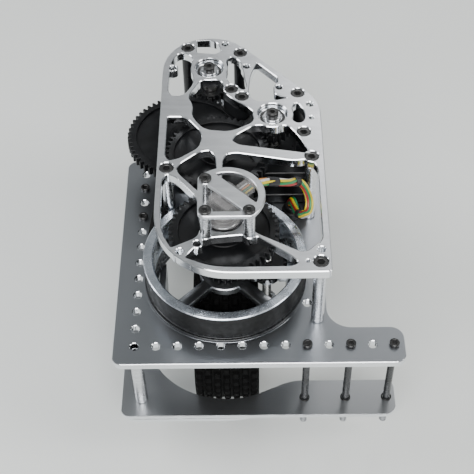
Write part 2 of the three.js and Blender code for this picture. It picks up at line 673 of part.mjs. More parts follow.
// The two spur gears at the foot of the drive shaft have teeth of a smaller module than their
// centres call for, so they clear each other at any steering angle.
const OPEN_MESH = { module: 1.15 };
const transferPhase = meshPhase(0, TEETH.transfer, 0, TEETH.transfer);
const transferTop = TRANSFER_PLANE[0] + TRANSFER_PLANE[1] + 2;
add("transfer_shaft", cylinder(2.8, WHEEL_Z + 12, transferTop - WHEEL_Z - 12, TRANSFER, 12), STEEL);
add("transfer_gear",
  spurGear(TEETH.transfer, transferPhase, TRANSFER, TRANSFER_PLANE, PINION_BORE, OPEN_MESH), BLACK_OXIDE);

// -- drive train down the steering axis --
const SHAFT_R = 6.35;
const SHAFT_BORE = 3;
const drivePhase = direction(STEER, HUB);
add("centre_gear",
  spurGear(TEETH.transfer, 0, STEER, TRANSFER_PLANE, SHAFT_R + GAP, OPEN_MESH), BLACK_OXIDE);
add("drive_shaft", union(
  tube(SHAFT_BORE, SHAFT_R, TRANSFER_PLANE[0] - 0.5, TOP_FACE - TRANSFER_PLANE[0], STEER, 18),
  tube(SHAFT_BORE, 9, 17, 4, STEER, 18),
), STEEL);
function driveGear() {
  const [z, width] = DRIVE_PLANE;
  return cut(
    union(
      spurGear(TEETH.drive, drivePhase, STEER, DRIVE_PLANE, SHAFT_R + GAP),
      tube(SHAFT_R + GAP, 12.5, z - 3, width + 5.7, STEER, 20),
    ),
    tube(14, 27, z + width - 1.6, 3, STEER, 24),
  );
}
add("drive_gear", driveGear(), ANODISED);
add("drive_shaft_bearing", tube(SHAFT_R + GAP, 11.1, TOP_Z - 0.4, TOP_T - 0.6, STEER, 24), STEEL);
add("encoder_rod", cylinder(1.9, SPOKE_Z[0], TOP_FACE + 4, STEER, 10), STEEL);

// -- spur train from the planetary gearbox --
const HUB_PIN_R = 3.9;
const hubPhase = meshPhase(drivePhase, TEETH.drive, direction(STEER, HUB), TEETH.hub);
const drivePinionPhase = meshPhase(hubPhase, TEETH.hub, direction(HUB, DRIVE_MOTOR), TEETH.drivePinion);
add("hub_gear", cut(
  spurGear(TEETH.hub, hubPhase, HUB, HUB_PLANE, HUB_PIN_R + GAP),
  tube(11, 27, HUB_PLANE[0] + HUB_PLANE[1] - 2, 4, HUB, 24),
), ANODISED);
const hubPinTop = TOP_Z + 3.6;
add("hub_pin", cylinder(HUB_PIN_R, HUB_PLANE[0], hubPinTop - HUB_PLANE[0], HUB, 14), STEEL);
add("drive_pinion",
  spurGear(TEETH.drivePinion, drivePinionPhase, DRIVE_MOTOR, DRIVE_PLANE, OUTPUT_R + GAP), ANODISED);

// -- spur pair and belt pulley from the steering motor --
const COUNTER_PIN_R = 3.1;
const counterPhase = direction(COUNTER, STEER_MOTOR);
const steeringPinionPhase = meshPhase(
  counterPhase, TEETH.steering, direction(COUNTER, STEER_MOTOR), TEETH.steeringPinion,
);
add("steering_gear", cut(
  spurGear(TEETH.steering, counterPhase, COUNTER, STEERING_PLANE, COUNTER_PIN_R + GAP),
  tube(11, 32, STEERING_PLANE[0] + STEERING_PLANE[1] - 1.6, 3, COUNTER, 24),
), ANODISED);
add("counter_pulley", cut(
  union(
    cylinder(beltRadius(BELT.small) - BELT.pitchLine, BELT.z - 0.4, BELT.width + 0.8, COUNTER, 20),
    cylinder(16.6, BELT.z + BELT.width + 0.3, 1, COUNTER, 20),
    cylinder(16.6, BELT.z - 1.4, 1.1, COUNTER, 20),
    cylinder(9, BELT.z + BELT.width + 1, STEERING_PLANE[0] - GAP - BELT.z - BELT.width - 1, COUNTER, 14),
  ),
  cylinder(COUNTER_PIN_R + GAP, 0, 40, COUNTER, 14),
), ALUMINIUM);
const counterPinTop = STEERING_PLANE[0] + STEERING_PLANE[1] + 0.4;
add("counter_pin", cylinder(COUNTER_PIN_R, -MID_T, counterPinTop + MID_T, COUNTER, 14), STEEL);
add("steering_pinion", spurGear(
  TEETH.steeringPinion, steeringPinionPhase, STEER_MOTOR, STEERING_PLANE, OUTPUT_R + GAP,
), BLACK_OXIDE);
add("steering_motor_shaft", outputShaft(STEER_MOTOR, MOTOR_FACE - 10), STEEL);

const shaftBearing = (at) => tube(OUTPUT_R + GAP, BOSS_BORE - GAP, TOP_Z + 0.4, 3, at, 20);
add("steering_shaft_bearing", shaftBearing(STEER_MOTOR), STEEL);
add("drive_output_bearing", shaftBearing(DRIVE_MOTOR), STEEL);

// -- encoder on its bracket --
const BRACKET_Z = 71;
const BRACKET_T = 3;
function encoderBracket() {
  const [a, b, c] = POSTS;
  const centre = [(a[0] + c[0]) / 2, (a[1] + c[1]) / 2];
  const reach = Math.hypot(a[0] - centre[0], a[1] - centre[1]);
  const start = direction(centre, a);
  const finish = direction(centre, c);
  const half = 4.4;
  const outer = new THREE.Shape();
  outer.absarc(b[0], b[1], half, Math.PI, 1.5 * Math.PI, false);
  outer.absarc(c[0], c[1], half, -Math.PI / 2, finish, false);
  outer.absarc(centre[0], centre[1], reach + half, finish, start, false);
  outer.absarc(a[0], a[1], half, start, Math.PI, false);
  outer.closePath();
  const inside = new THREE.Path();
  inside.absarc(centre[0], centre[1], reach + 0.2, finish + 0.42, start - 0.42, false);
  inside.closePath();
  outer.holes.push(inside);
  outer.holes.push(roundedOutline([
    [b[0] - 1.3, b[1] - 0.3], [c[0] - 2.4, c[1] - 0.3], [a[0] - 1.3, a[1] - 1.8],
  ], 0.5, THREE.Path));
  const posts = POSTS.map((at) => union(
    cylinder(3.4, TOP_FACE + GAP, BRACKET_Z - TOP_FACE, at, 14),
    cylinder(4.35, BRACKET_Z, BRACKET_T, at, 16),
  ));
  return cut(
    union(extrude(outer, BRACKET_Z, BRACKET_T, 7), ...posts),
    ...POSTS.map((at) => cylinder(1.4, BRACKET_Z - 6, 12, at, 8)),
  );
}
add("encoder_bracket", encoderBracket(), ALUMINIUM);

const QUARTER_TURN = Math.PI / 4;
function turnedBlock(sx, sy, sz, x, y, z) {
  const box = new THREE.BoxGeometry(sx, sy, sz);
  box.rotateZ(QUARTER_TURN);
  box.translate(x, y, z);
  return solid(box);
}
function encoderBody() {
  return cut(
    union(cylinder(10.6, TOP_FACE + GAP, 10, STEER, 28),
      turnedBlock(17, 17, 9, STEER[0] + 3.2, STEER[1] + 2.2, TOP_FACE + 12)),
    cylinder(4, TOP_FACE - 1, 8, STEER, 14),
  );
}
add("encoder_body", encoderBody(), CLEAR);
const CONNECTOR = [STEER[0] + 13, STEER[1] + 11.8];
const CONNECTOR_Z = TOP_FACE + 11.4;
add("encoder_connector", turnedBlock(8.4, 8, 6, ...CONNECTOR, CONNECTOR_Z), CLEAR);

// -- wire harness, held at both ends by the module --
const SOCKET = [95.5, 102.5];
const SOCKET_TOP = 10;
add("harness_socket", union(
  cylinder(6, GAP, 6, SOCKET, 16), cylinder(4.4, 6, SOCKET_TOP - 6, SOCKET, 16),
), SLEEVE);
const HARNESS = [
  [CONNECTOR[0] + 4.3, CONNECTOR[1] + 4.3, CONNECTOR_Z],
  [76, 71, 64], [82, 75, 60], [88, 79, 55], [93, 84, 49.5], [97, 90, 44], [100.5, 91, 41], [103.4, 87, 39],
  [105, 80.5, 36], [104, 77, 31], [101, 80, 25], [98.5, 86, 20], [97, 94, 17], [96, 100, 15.5],
  [95.5, 102.5, 12.6], [95.5, 102.5, SOCKET_TOP + GAP],
];
const HARNESS_R = 2.3;
function harness() {
  const points = HARNESS.map((p) => new THREE.Vector3(...p));
  const section = new THREE.Shape();
  section.absarc(0, 0, HARNESS_R, 0, 2 * Math.PI, false);
  return solid(new THREE.ExtrudeGeometry(section, {
    steps: 22, extrudePath: new THREE.CatmullRomCurve3(points, false, "centripetal"),
    curveSegments: 4, bevelEnabled: false,
  }));
}
add("wire_harness", harness(), WIRE);

export default assembly;
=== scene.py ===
import json
import math

import bmesh
import bpy
from mathutils import Matrix, Vector, noise


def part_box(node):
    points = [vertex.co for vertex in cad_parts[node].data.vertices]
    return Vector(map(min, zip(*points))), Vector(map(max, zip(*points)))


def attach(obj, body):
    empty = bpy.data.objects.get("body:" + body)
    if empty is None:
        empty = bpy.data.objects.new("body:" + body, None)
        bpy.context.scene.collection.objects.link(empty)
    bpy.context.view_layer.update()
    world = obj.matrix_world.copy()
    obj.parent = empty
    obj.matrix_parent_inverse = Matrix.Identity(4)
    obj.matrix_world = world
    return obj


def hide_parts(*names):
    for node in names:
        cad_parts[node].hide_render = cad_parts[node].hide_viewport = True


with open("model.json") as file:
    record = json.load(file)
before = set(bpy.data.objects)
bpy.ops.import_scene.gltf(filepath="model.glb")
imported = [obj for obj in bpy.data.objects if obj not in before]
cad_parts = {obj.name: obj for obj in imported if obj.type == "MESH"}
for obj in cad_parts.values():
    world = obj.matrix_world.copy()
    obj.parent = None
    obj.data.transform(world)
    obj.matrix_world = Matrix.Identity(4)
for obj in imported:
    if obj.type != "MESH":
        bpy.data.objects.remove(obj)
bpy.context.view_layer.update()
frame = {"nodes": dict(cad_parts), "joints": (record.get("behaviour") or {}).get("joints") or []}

# Pieces are built in millimetres in the row frame and scaled to metres at the end.
MM = 0.001
NODES = frame["nodes"]
JOINT = {j["name"]: Vector(j["pos_m"]) / MM for j in frame["joints"]}
STEER = JOINT["steering"]
WHEEL = JOINT["wheel_spin"]
TAU = 2 * math.pi


def box(node):
    low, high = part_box(node)
    return Vector(low) / MM, Vector(high) / MM


def middle(node):
    low, high = box(node)
    return (low + high) / 2


# ---- camera ------------------------------------------------------------------------------
CAMERA_PLACE = Vector((-0.053206, -0.367706, 0.528994))
CAMERA_FORWARD = Vector((-0.01006, 0.65266, -0.75759)).normalized()
CAMERA_RIGHT = Vector((0.99988, -0.00215, -0.01513))
SENSOR_WIDTH, FOCAL_LENGTH = 36.0, 82.68


def add_camera():
    data = bpy.data.cameras.new("view")
    data.sensor_width = SENSOR_WIDTH
    data.lens = FOCAL_LENGTH
    data.clip_start = 0.01
    camera = bpy.data.objects.new("view", data)
    bpy.context.scene.collection.objects.link(camera)
    right = (CAMERA_RIGHT - CAMERA_FORWARD * CAMERA_RIGHT.dot(CAMERA_FORWARD)).normalized()
    up = right.cross(CAMERA_FORWARD)
    turn = Matrix((right, up, -CAMERA_FORWARD)).transposed().to_4x4()
    camera.matrix_world = Matrix.Translation(CAMERA_PLACE) @ turn
    bpy.context.scene.camera = camera


add_camera()


# ---- materials ---------------------------------------------------------------------------
class Nodes:
    """A short way to write a material's node tree."""

    def __init__(self, name):
        self.material = bpy.data.materials.new(name)
        self.material.use_nodes = True
        self.tree = self.material.node_tree
        self.shader = self.tree.nodes["Principled BSDF"]
        self.coordinates = self.tree.nodes.new("ShaderNodeTexCoord").outputs["Object"]

    def link(self, a, b):
        self.tree.links.new(a, b)

    def stretched(self, scale):
        mapping = self.tree.nodes.new("ShaderNodeMapping")
        mapping.inputs["Scale"].default_value = scale
        self.link(self.coordinates, mapping.inputs["Vector"])
        return mapping.outputs["Vector"]

    def noise(self, scale, detail, stretch=(1, 1, 1)):
        node = self.tree.nodes.new("ShaderNodeTexNoise")
        node.inputs["Scale"].default_value = scale
        node.inputs["Detail"].default_value = detail
        node.inputs["Roughness"].default_value = 0.55
        self.link(self.stretched(stretch), node.inputs["Vector"])
        return node.outputs["Fac"]

    def ramp(self, value, stops):
        node = self.tree.nodes.new("ShaderNodeValToRGB")
        elements = node.color_ramp.elements
        while len(elements) < len(stops):
            elements.new(0.5)
        for element, (position, colour) in zip(elements, stops):
            element.position = position
            element.color = (*colour, 1)
        self.link(value, node.inputs["Fac"])
        return node.outputs["Color"]

    def span(self, value, low, high):
        node = self.tree.nodes.new("ShaderNodeMapRange")
        for name, number in zip(("From Min", "From Max", "To Min", "To Max"), (0.3, 0.7, low, high)):
            node.inputs[name].default_value = number
        self.link(value, node.inputs["Value"])
        return node.outputs["Result"]

    def bump(self, height, strength, distance):
        node = self.tree.nodes.new("ShaderNodeBump")
        node.inputs["Strength"].default_value = strength
        node.inputs["Distance"].default_value = distance * MM
        self.link(height, node.inputs["Height"])
        self.link(node.outputs["Normal"], self.shader.inputs["Normal"])


def grey(value, tint):
    return tuple(value * t for t in tint)


COOL = (0.97, 0.99, 1.02)
BLUISH = (0.95, 0.99, 1.05)
EVEN = (1, 1, 1)


def metal(name, dark, light, rough, tint, grain, scale, bump, lines=900):
    """Metal with a mottled colour, a grain along one way and fine tool lines."""
    n = Nodes(name)
    n.shader.inputs["Metallic"].default_value = 1.0
    mottle = n.ramp(n.noise(scale, 5.0, grain), [(0.32, grey(dark, tint)), (0.68, grey(light, tint))])
    n.link(mottle, n.shader.inputs["Base Color"])
    n.link(n.span(n.noise(scale * 2.3, 4.0, grain), *rough), n.shader.inputs["Roughness"])
    n.bump(n.noise(lines, 2.0, grain), bump, 0.05)
    return n.material


def coated(name, dark, light, rough, tint, scale=90, bump=0.12, fine=1800, coat=0.0, shine=0.5):
    """Painted, anodised, oxide or moulded surface."""
    n = Nodes(name)
    n.shader.inputs["Coat Weight"].default_value = coat
    n.shader.inputs["Specular IOR Level"].default_value = shine
    n.link(n.ramp(n.noise(scale, 5.0), [(0.3, grey(dark, tint)), (0.72, grey(light, tint))]),
           n.shader.inputs["Base Color"])
    n.link(n.span(n.noise(scale * 1.7, 3.0), *rough), n.shader.inputs["Roughness"])
    n.bump(n.noise(fine, 2.0), bump, 0.08)
    return n.material


def clear(name, tint, alpha, rough):
    """Thin clear plastic."""
    n = Nodes(name)
    n.shader.inputs["Alpha"].default_value = alpha
    n.shader.inputs["IOR"].default_value = 1.49
    n.link(n.ramp(n.noise(140, 4.0), [(0.3, grey(0.82, tint)), (0.7, grey(1.0, tint))]),
           n.shader.inputs["Base Color"])
    n.link(n.span(n.noise(260, 2.0), *rough), n.shader.inputs["Roughness"])
    n.bump(n.noise(500, 2.0), 0.06, 0.05)
    return n.material


TOP_ALU = metal("top_aluminium", 0.66, 0.76, (0.3, 0.42), COOL, (1, 6, 1), 45, 0.02, 2600)
# Aluminium darkened to a slate grey for the middle plate and the parts just under the top plate: painted
# shade.
MID_ALU_PAINTED_SHADE = metal("mid_aluminium_painted_shade", 0.36, 0.43, (0.27, 0.31), BLUISH, EVEN, 7, 0.002, 2600)
LOWER_ALU = metal("lower_aluminium", 0.44, 0.52, (0.28, 0.33), COOL, EVEN, 7, 0.002, 2600)
EDGE_ALU = metal("edge_aluminium", 0.80, 0.90, (0.10, 0.18), COOL, (1, 1, 9), 80, 0.01)
RING_ALU = metal("pulley_aluminium", 0.56, 0.96, (0.16, 0.34), (0.92, 0.98, 1.07), EVEN, 70, 0.04, 420)
ROD_ALU = metal("turned_aluminium", 0.62, 0.8, (0.2, 0.32), COOL, (1, 1, 12), 120, 0.1)
STEEL = metal("ground_steel", 0.5, 0.68, (0.2, 0.36), (1.0, 0.99, 0.97), (1, 1, 8), 110, 0.08)
BEARING_STEEL = metal("bearing_steel", 0.6, 0.76, (0.16, 0.28), COOL, EVEN, 90, 0.05)
ANODISED = coated("black_anodised", 0.004, 0.012, (0.26, 0.4), (0.95, 1.0, 1.1), shine=0.3)
GEAR_BLACK = coated("gear_black", 0.003, 0.01, (0.34, 0.5), (0.95, 1.0, 1.12), 120, 0.15, shine=0.25)
OXIDE = coated("black_oxide", 0.010, 0.026, (0.24, 0.42), (1.0, 0.99, 0.98), 200, 0.15)
# Black of the bolt shanks; the same black is painted shade on the turntable races and the pulley's
# sleeve.
BOLT_BLACK_AND_PAINTED_SHADE = coated("bolt_black_and_painted_shade", 0.014, 0.04, (0.2, 0.34), (0.95, 1.0, 1.08), 200, 0.1)
RUBBER = coated("belt_rubber", 0.003, 0.008, (0.4, 0.6), EVEN, 160, 0.3, 1400, shine=0.3)
TREAD = coated("tread_rubber", 0.002, 0.005, (0.7, 0.9), EVEN, 120, 0.5, 900, shine=0.12)
SLEEVING = coated("black_sleeve", 0.010, 0.03, (0.35, 0.55), (1.02, 0.98, 1.1), 260, 0.35, 1200)
MOULDED = coated("moulded_black", 0.01, 0.02, (0.4, 0.55), EVEN, 150, 0.25, 1500)
CLEAR = clear("clear_plastic", (0.50, 0.49, 0.49), 0.34, (0.08, 0.2))
SMOKED = coated("sensor_rings", 0.05, 0.15, (0.25, 0.4), (1.0, 0.96, 0.93), 130, 0.1)
BOARD = coated("sensor_board", 0.02, 0.06, (0.4, 0.6), (0.8, 1.0, 0.9), 170, 0.2)
WIRE_COLOURS = {
    "yellow": (0.85, 0.66, 0.02), "green": (0.02, 0.28, 0.10), "orange": (0.82, 0.30, 0.03),
    "white": (0.78, 0.78, 0.80), "red": (0.42, 0.03, 0.03), "black": (0.015, 0.015, 0.018),
}
INSULATION = {
    name: coated("insulation_" + name, 0.72, 1.0, (0.28, 0.42), colour, 220, 0.12, 900, coat=0.2)
    for name, colour in WIRE_COLOURS.items()
}


# ---- mesh tools --------------------------------------------------------------------------
def on_circle(at, r, angle):
    """Point in plan at a radius and an angle about another."""
    return Vector((at[0], at[1])) + Vector((math.cos(angle), math.sin(angle))) * r


def circle(at, r, count=96):
    return [on_circle(at, r, TAU * i / count) for i in range(count)]


def piece(name, parts, body, hides=(), smooth=32):
    """
    Joins the (bmesh, material) parts, in millimetres, into one piece that rides on a body. A pair of
    materials is one for faces that look up or down and one for the other faces.
    """
    mesh = bpy.data.meshes.new(name)
    joined = bmesh.new()
    for part, materials in parts:
        flat, side = materials if isinstance(materials, tuple) else (materials, materials)
        for material in (flat, side):
            if mesh.materials.find(material.name) < 0:
                mesh.materials.append(material)
        places = [mesh.materials.find(material.name) for material in (flat, side)]
        for face in part.faces:
            face.material_index = places[0 if abs(face.normal.z) >= 0.9 else 1]
        scratch = bpy.data.meshes.new("scratch")
        part.to_mesh(scratch)
        part.free()
        joined.from_mesh(scratch)
        bpy.data.meshes.remove(scratch)
    joined.to_mesh(mesh)
    joined.free()
    mesh.transform(Matrix.Scale(MM, 4))
    for polygon in mesh.polygons:
        polygon.use_smooth = True
    mesh.set_sharp_from_angle(angle=math.radians(smooth))
    obj = bpy.data.objects.new(name, mesh)
    bpy.context.scene.collection.objects.link(obj)
    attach(obj, body)
    if hides:
        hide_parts(*hides)


def bridge(bm, rings):
    """Faces between rings of as many points that follow each other."""
    for a, b in zip(rings, rings[1:]):
        for i in range(len(a)):
            j = (i + 1) % len(a)
            bm.faces.new((a[i], a[j], b[j], b[i]))


def clean(bm):
    bmesh.ops.remove_doubles(bm, verts=bm.verts, dist=1e-4)
    bmesh.ops.recalc_face_normals(bm, faces=bm.faces)
    return bm


def lathe(profile, centre, axis="Z", segments=64, closed=True):
    """Turns a profile of (radius, height) points about an axis through centre."""
    bm = bmesh.new()
    rings = []
    for r, h in profile:
        ring = []
        for i in range(segments):
            if axis == "Z":
                spot = (*on_circle(centre, r, TAU * i / segments), h)
            else:
                spot = (h, *on_circle((centre[1], centre[2]), r, TAU * i / segments))
            ring.append(bm.verts.new(spot))
        rings.append(ring)
    bridge(bm, rings + rings[:1] if closed else rings)
    return clean(bm)


def chamfered(inner, outer, low, high, edge):
    """Profile of a ring, or of a solid rod if inner is 0, with chamfered ends."""
    outside = [(outer - edge, low), (outer, low + edge), (outer, high - edge), (outer - edge, high)]
    if inner <= 0:
        return [(0, low), *outside, (0, high)]
    inside = [(inner + edge, high), (inner, high - edge), (inner, low + edge), (inner + edge, low)]
    return outside + inside


def rod(centre, r, low, high, edge=0.3, inner=0.0, segments=48):
    return lathe(chamfered(inner, r, low, high, edge), centre, "Z", segments, closed=inner > 0)


def block(size, centre, edge=0.4, turn=0.0, segments=2):
    """Box with rounded edges, turned about its upright axis."""
    bm = bmesh.new()
    bmesh.ops.create_cube(bm, size=1.0)
    bmesh.ops.scale(bm, vec=size, verts=bm.verts)
    bmesh.ops.bevel(bm, geom=bm.edges[:] + bm.verts[:], offset=edge, segments=segments, affect="EDGES",
                    profile=0.5)
    bmesh.ops.rotate(bm, matrix=Matrix.Rotation(turn, 3, "Z"), verts=bm.verts)
    bmesh.ops.translate(bm, vec=Vector(centre), verts=bm.verts)
    return bm


SHALLOW = math.radians(50)  # turns under this belong to a faceted arc
SAME_SPOT = 0.02
POCKET_GROWTH = 0.8
WIDEST_POCKET = 95
SMALL_HOLE = 11
LONGEST_CUT = 3.9  # longest short edge that cuts off a corner
LEAST_TURN = 0.3  # sine of the least turn of such a corner
LONGEST_MITRE = 0.45  # cosine of half the turn at which a corner's mitre stops growing


def face_loops(node, level=None):
    """Outlines of the flat face of a CAD node at a height, or at its top, as lists of points."""
    bm = bmesh.new()
    bm.from_mesh(NODES[node].data)
    bmesh.ops.scale(bm, vec=(1 / MM,) * 3, verts=bm.verts)
    bmesh.ops.remove_doubles(bm, verts=bm.verts, dist=SAME_SPOT)
    if level is None:
        level = max(v.co.z for v in bm.verts)
    flat = {f for f in bm.faces if all(abs(v.co.z - level) < SAME_SPOT for v in f.verts)}
    border = {}
    for face in (f for f in bm.faces if f in flat):
        for loop in face.loops:
            if sum(f in flat for f in loop.edge.link_faces) == 1:
                border.setdefault(loop.vert, []).append(loop.link_loop_next.vert)
    loops = []
    while border:
        spot = next(iter(border))
        loop = []
        while spot in border:
            loop.append(spot.co.xy.copy())
            following = border[spot].pop()
            if not border[spot]:
                del border[spot]
            spot = following
        loops.append(loop)
    bm.free()
    return [loop for loop in map(straightened, loops) if len(loop) > 2]


def outermost(loops, axis):
    return max(loops, key=lambda loop: max((p - axis.xy).length for p in loop))


def straightened(loop):
    """The loop without the points that lie on a straight stretch."""
    kept = []
    count = len(loop)
    for i, p in enumerate(loop):
        a, b = p - loop[i - 1], loop[(i + 1) % count] - p
        if a.length > 1e-6 and b.length > 1e-6 and abs(a.cross(b)) > 0.004 * a.length * b.length:
            kept.append(p)
    return kept


def as_circle(loop):
    """A fine circle if the loop is a coarse one, or None."""
    centre = sum(loop, Vector((0, 0))) / len(loop)
    radii = [(p - centre).length for p in loop]
    if len(loop) < 6 or max(radii) - min(radii) > 0.02 * max(radii):
        return None
    r = max(radii) * (0.5 + 0.5 * math.cos(math.pi / len(loop)))
    return circle(centre, r, 64 if r > 8 else 32)


def crisp(loop, reach):
    """The loop with its cut off corners made sharp again, grown a little, then filleted."""
    width = max(p.x for p in loop) - min(p.x for p in loop)
    if width < SMALL_HOLE:
        return softened(loop, math.inf)
    out = []
    count = len(loop)
    longest = max(range(count), key=lambda i: (loop[i] - loop[i - 1]).length)
    loop = loop[longest:] + loop[:longest]
    skip = False
    for i, p in enumerate(loop):
        if skip:
            skip = False
            continue
        q = loop[(i + 1) % count]
        before, after = p - loop[i - 1], loop[(i + 2) % count] - q
        cut = (q - p).length
        lone = cut < LONGEST_CUT and min(before.length, after.length) > 1.3 * cut
        u, v = before.normalized(), after.normalized()
        if lone and abs(u.cross(v)) > LEAST_TURN:
            along = (q - p).cross(v) / u.cross(v)
            if 0 < along < LONGEST_CUT:
                out.append(p + u * along)
                skip = True
                continue
        out.append(p)
    if width < WIDEST_POCKET:
        out = grown(out, POCKET_GROWTH)
    return softened(out, reach)


def grown(loop, by):
    """The closed polygon with every side moved outwards."""
    area = sum(a.cross(b) for a, b in zip(loop, loop[1:] + loop[:1]))
    sign = 1 if area > 0 else -1
    out = []
    for before, p, after in zip(loop[-1:] + loop[:-1], loop, loop[1:] + loop[:1]):
        ways = (p - before).normalized(), (after - p).normalized()
        normals = [Vector((way.y, -way.x)) * sign for way in ways]
        half = (normals[0] + normals[1]).normalized()
        out.append(p + half * by / max(half.dot(normals[0]), LONGEST_MITRE))
    return out


def softened(loop, reach, steps=4):
    """The loop with sharp corners rounded, and faceted arcs turned back into smooth ones."""
    out = []
    count = len(loop)
    for i, p in enumerate(loop):
        before, after = loop[i - 1] - p, loop[(i + 1) % count] - p
        shortest = min(before.length, after.length)
        shallow = math.pi - before.angle(after) < SHALLOW
        span = 0.49 * shortest if shallow else min(reach, 0.49 * shortest)
        a = p + before.normalized() * span
        b = p + after.normalized() * span
        for k in range(steps + 1):
            t = k / steps
            out.append(a * (1 - t) ** 2 + p * 2 * t * (1 - t) + b * t * t)
    return out


def slab(loops, low, high, edge):
    """Solid plate between two heights from outlines, every edge chamfered."""
    curve = bpy.data.curves.new("slab", "CURVE")
    curve.dimensions = "2D"
    curve.fill_mode = "BOTH"
    curve.extrude = (high - low) / 2 - edge
    curve.bevel_depth = edge
    curve.bevel_resolution = 0
    curve.offset = -edge
    for loop in loops:
        spline = curve.splines.new("POLY")
        spline.points.add(len(loop) - 1)
        for point, p in zip(spline.points, loop):
            point.co = (p.x, p.y, 0, 1)
        spline.use_cyclic_u = True
    holder = bpy.data.objects.new("slab", curve)
    bpy.context.scene.collection.objects.link(holder)
    bpy.context.view_layer.update()
    made = bpy.data.meshes.new_from_object(holder.evaluated_get(bpy.context.evaluated_depsgraph_get()))
    bm = bmesh.new()
    bm.from_mesh(made)
    bpy.data.objects.remove(holder)
    bpy.data.curves.remove(curve)
    bpy.data.meshes.remove(made)
    bmesh.ops.translate(bm, vec=(0, 0, (high + low) / 2), verts=bm.verts)
    return clean(bm)


def plate(node, low, edge, reach, shaped=softened):
    """A CAD plate with smooth outlines and chamfered edges."""
    loops = [as_circle(loop) or shaped(loop, reach) for loop in face_loops(node)]
    return slab(loops, low, box(node)[1].z, edge)


def refined(node):
    """A copy of a CAD node with its sharp edges broken."""
    bm = bmesh.new()
    bm.from_mesh(NODES[node].data)
    bmesh.ops.scale(bm, vec=(1 / MM,) * 3, verts=bm.verts)
    bmesh.ops.remove_doubles(bm, verts=bm.verts, dist=2e-3)
    bmesh.ops.dissolve_limit(bm, angle_limit=math.radians(1), verts=bm.verts, edges=bm.edges)
    sharp = [e for e in bm.edges if len(e.link_faces) == 2 and e.calc_face_angle(0) > math.radians(50)]
    bmesh.ops.bevel(bm, geom=sharp, offset=0.2, segments=1, affect="EDGES", clamp_overlap=True)
    bmesh.ops.recalc_face_normals(bm, faces=bm.faces)
    return bm


def hex_radius(flat, angle):
    """Distance from the middle of a hexagon to its side, at an angle."""
    return flat / math.cos((angle % (TAU / 6)) - TAU / 12)


def cap_head(centre, top, r, height, socket, depth, segments=48):
    """Socket cap screw head with its hexagonal recess."""
    bm = bmesh.new()
    chamfer = 0.12 * r
    turned = [(0.0, top - height), (r, top - height), (r, top - chamfer), (r - chamfer, top)]
    floor = top - depth
    recess = [(socket + 0.25, top), (socket, top - 0.25), (socket, floor), (0.0, floor - 0.5)]
    angles = [TAU * i / segments for i in range(segments)]
    rings = [[(*on_circle(centre, radius, a), z) for a in angles] for radius, z in turned]
    rings += [[(*on_circle(centre, hex_radius(flat, a), a), z) for a in angles] for flat, z in recess]
    bridge(bm, [[bm.verts.new(spot) for spot in ring] for ring in rings])
    return clean(bm)


def threaded(centre, r, low, high, pitch=0.8, depth=0.3, segments=32):
    """Rod with thread ridges."""
    profile = [(0, low), (r - depth - 0.2, low)]
    z = low + 0.4
    while z < high - pitch:
        profile += [(r - depth, z), (r, z + pitch * 0.45), (r, z + pitch * 0.55)]
        z += pitch
    profile += [(r, z), (r, high), (0, high)]
    return lathe(profile, centre, "Z", segments, closed=False)


# ---- plates ------------------------------------------------------------------------------
TOP_LOW, TOP_HIGH = box("top_plate")[0].z, box("top_plate")[1].z
MID_HIGH = box("mid_plate")[1].z
SCREW_R = 4.25
COUNTERBORE_R = 4.5
SEAT_DEPTH = 4.4
BRIDGE_END_R = 5.4
SCREWS = [
    "steer_standoff_rear_left", "steer_standoff_rear_right", "drive_standoff_rear",
    "drive_standoff_right", "standoff_front_right", "standoff_left", "standoff_right",
]


def screw_places():
    """Over the standoffs, and at the middles of the bridge block's two round ends."""
    low, high = box("bridge_block")
    r = BRIDGE_END_R
    over_bridge = [Vector((low.x + r, high.y - r)), Vector((high.x - r, low.y + r))]
    return [middle(node).xy for node in SCREWS] + over_bridge


def make_plate(node, faces, sides, edge=0.3, reach=2.0, extra=(), shaped=softened):
    made = plate(node, box(node)[0].z, edge, reach, shaped)
    piece(node + "_fine", [(made, (faces, sides)), *extra], "frame", [node])


seats = [
    (rod(at, COUNTERBORE_R + 0.02, TOP_LOW, TOP_HIGH - SEAT_DEPTH, 0.05, inner=2.6), TOP_ALU)
    for at in screw_places()
]
make_plate("top_plate", TOP_ALU, EDGE_ALU, edge=0.45, reach=1.2, extra=seats, shaped=crisp)
# The middle plate's faces take the darkened aluminium, a painted shade.
make_plate("mid_plate", MID_ALU_PAINTED_SHADE, EDGE_ALU, edge=0.35)
make_plate("lower_plate", LOWER_ALU, EDGE_ALU, edge=0.3)
make_plate("lower_stiffener", LOWER_ALU, EDGE_ALU, edge=0.3)

for number, at in enumerate(screw_places(), 1):
    head = cap_head(at, TOP_HIGH - 0.25, SCREW_R, 4.0, 2.0, 2.3)
    piece(f"plate_screw_{number}", [(head, OXIDE)], "frame")


# ---- standoffs, spacer, rail bolts -------------------------------------------------------
def make_standoff(node, material):
    """Hollow rod with a faint ridge near either end."""
    low, high = box(node)
    at = middle(node)
    r = (high.x - low.x) / 2
    parts = [(rod(at, r, low.z, high.z, 0.35, inner=2.2), material)]
    for z in (low.z + 2, high.z - 2.5):
        parts.append((rod(at, r + 0.02, z, z + 0.5, 0.1, inner=r - 0.5), material))
    piece(node + "_turned", parts, "frame", [node])


for node in ("standoff_front_right", "standoff_left", "standoff_right", "corner_spacer"):
    make_standoff(node, ROD_ALU)
for node in SCREWS[:4]:
    make_standoff(node, ANODISED)
bridge_block = plate("bridge_block", box("bridge_block")[0].z, 0.5, 1.0)
piece("bridge_block_fine", [(bridge_block, ANODISED)], "frame", ["bridge_block"])


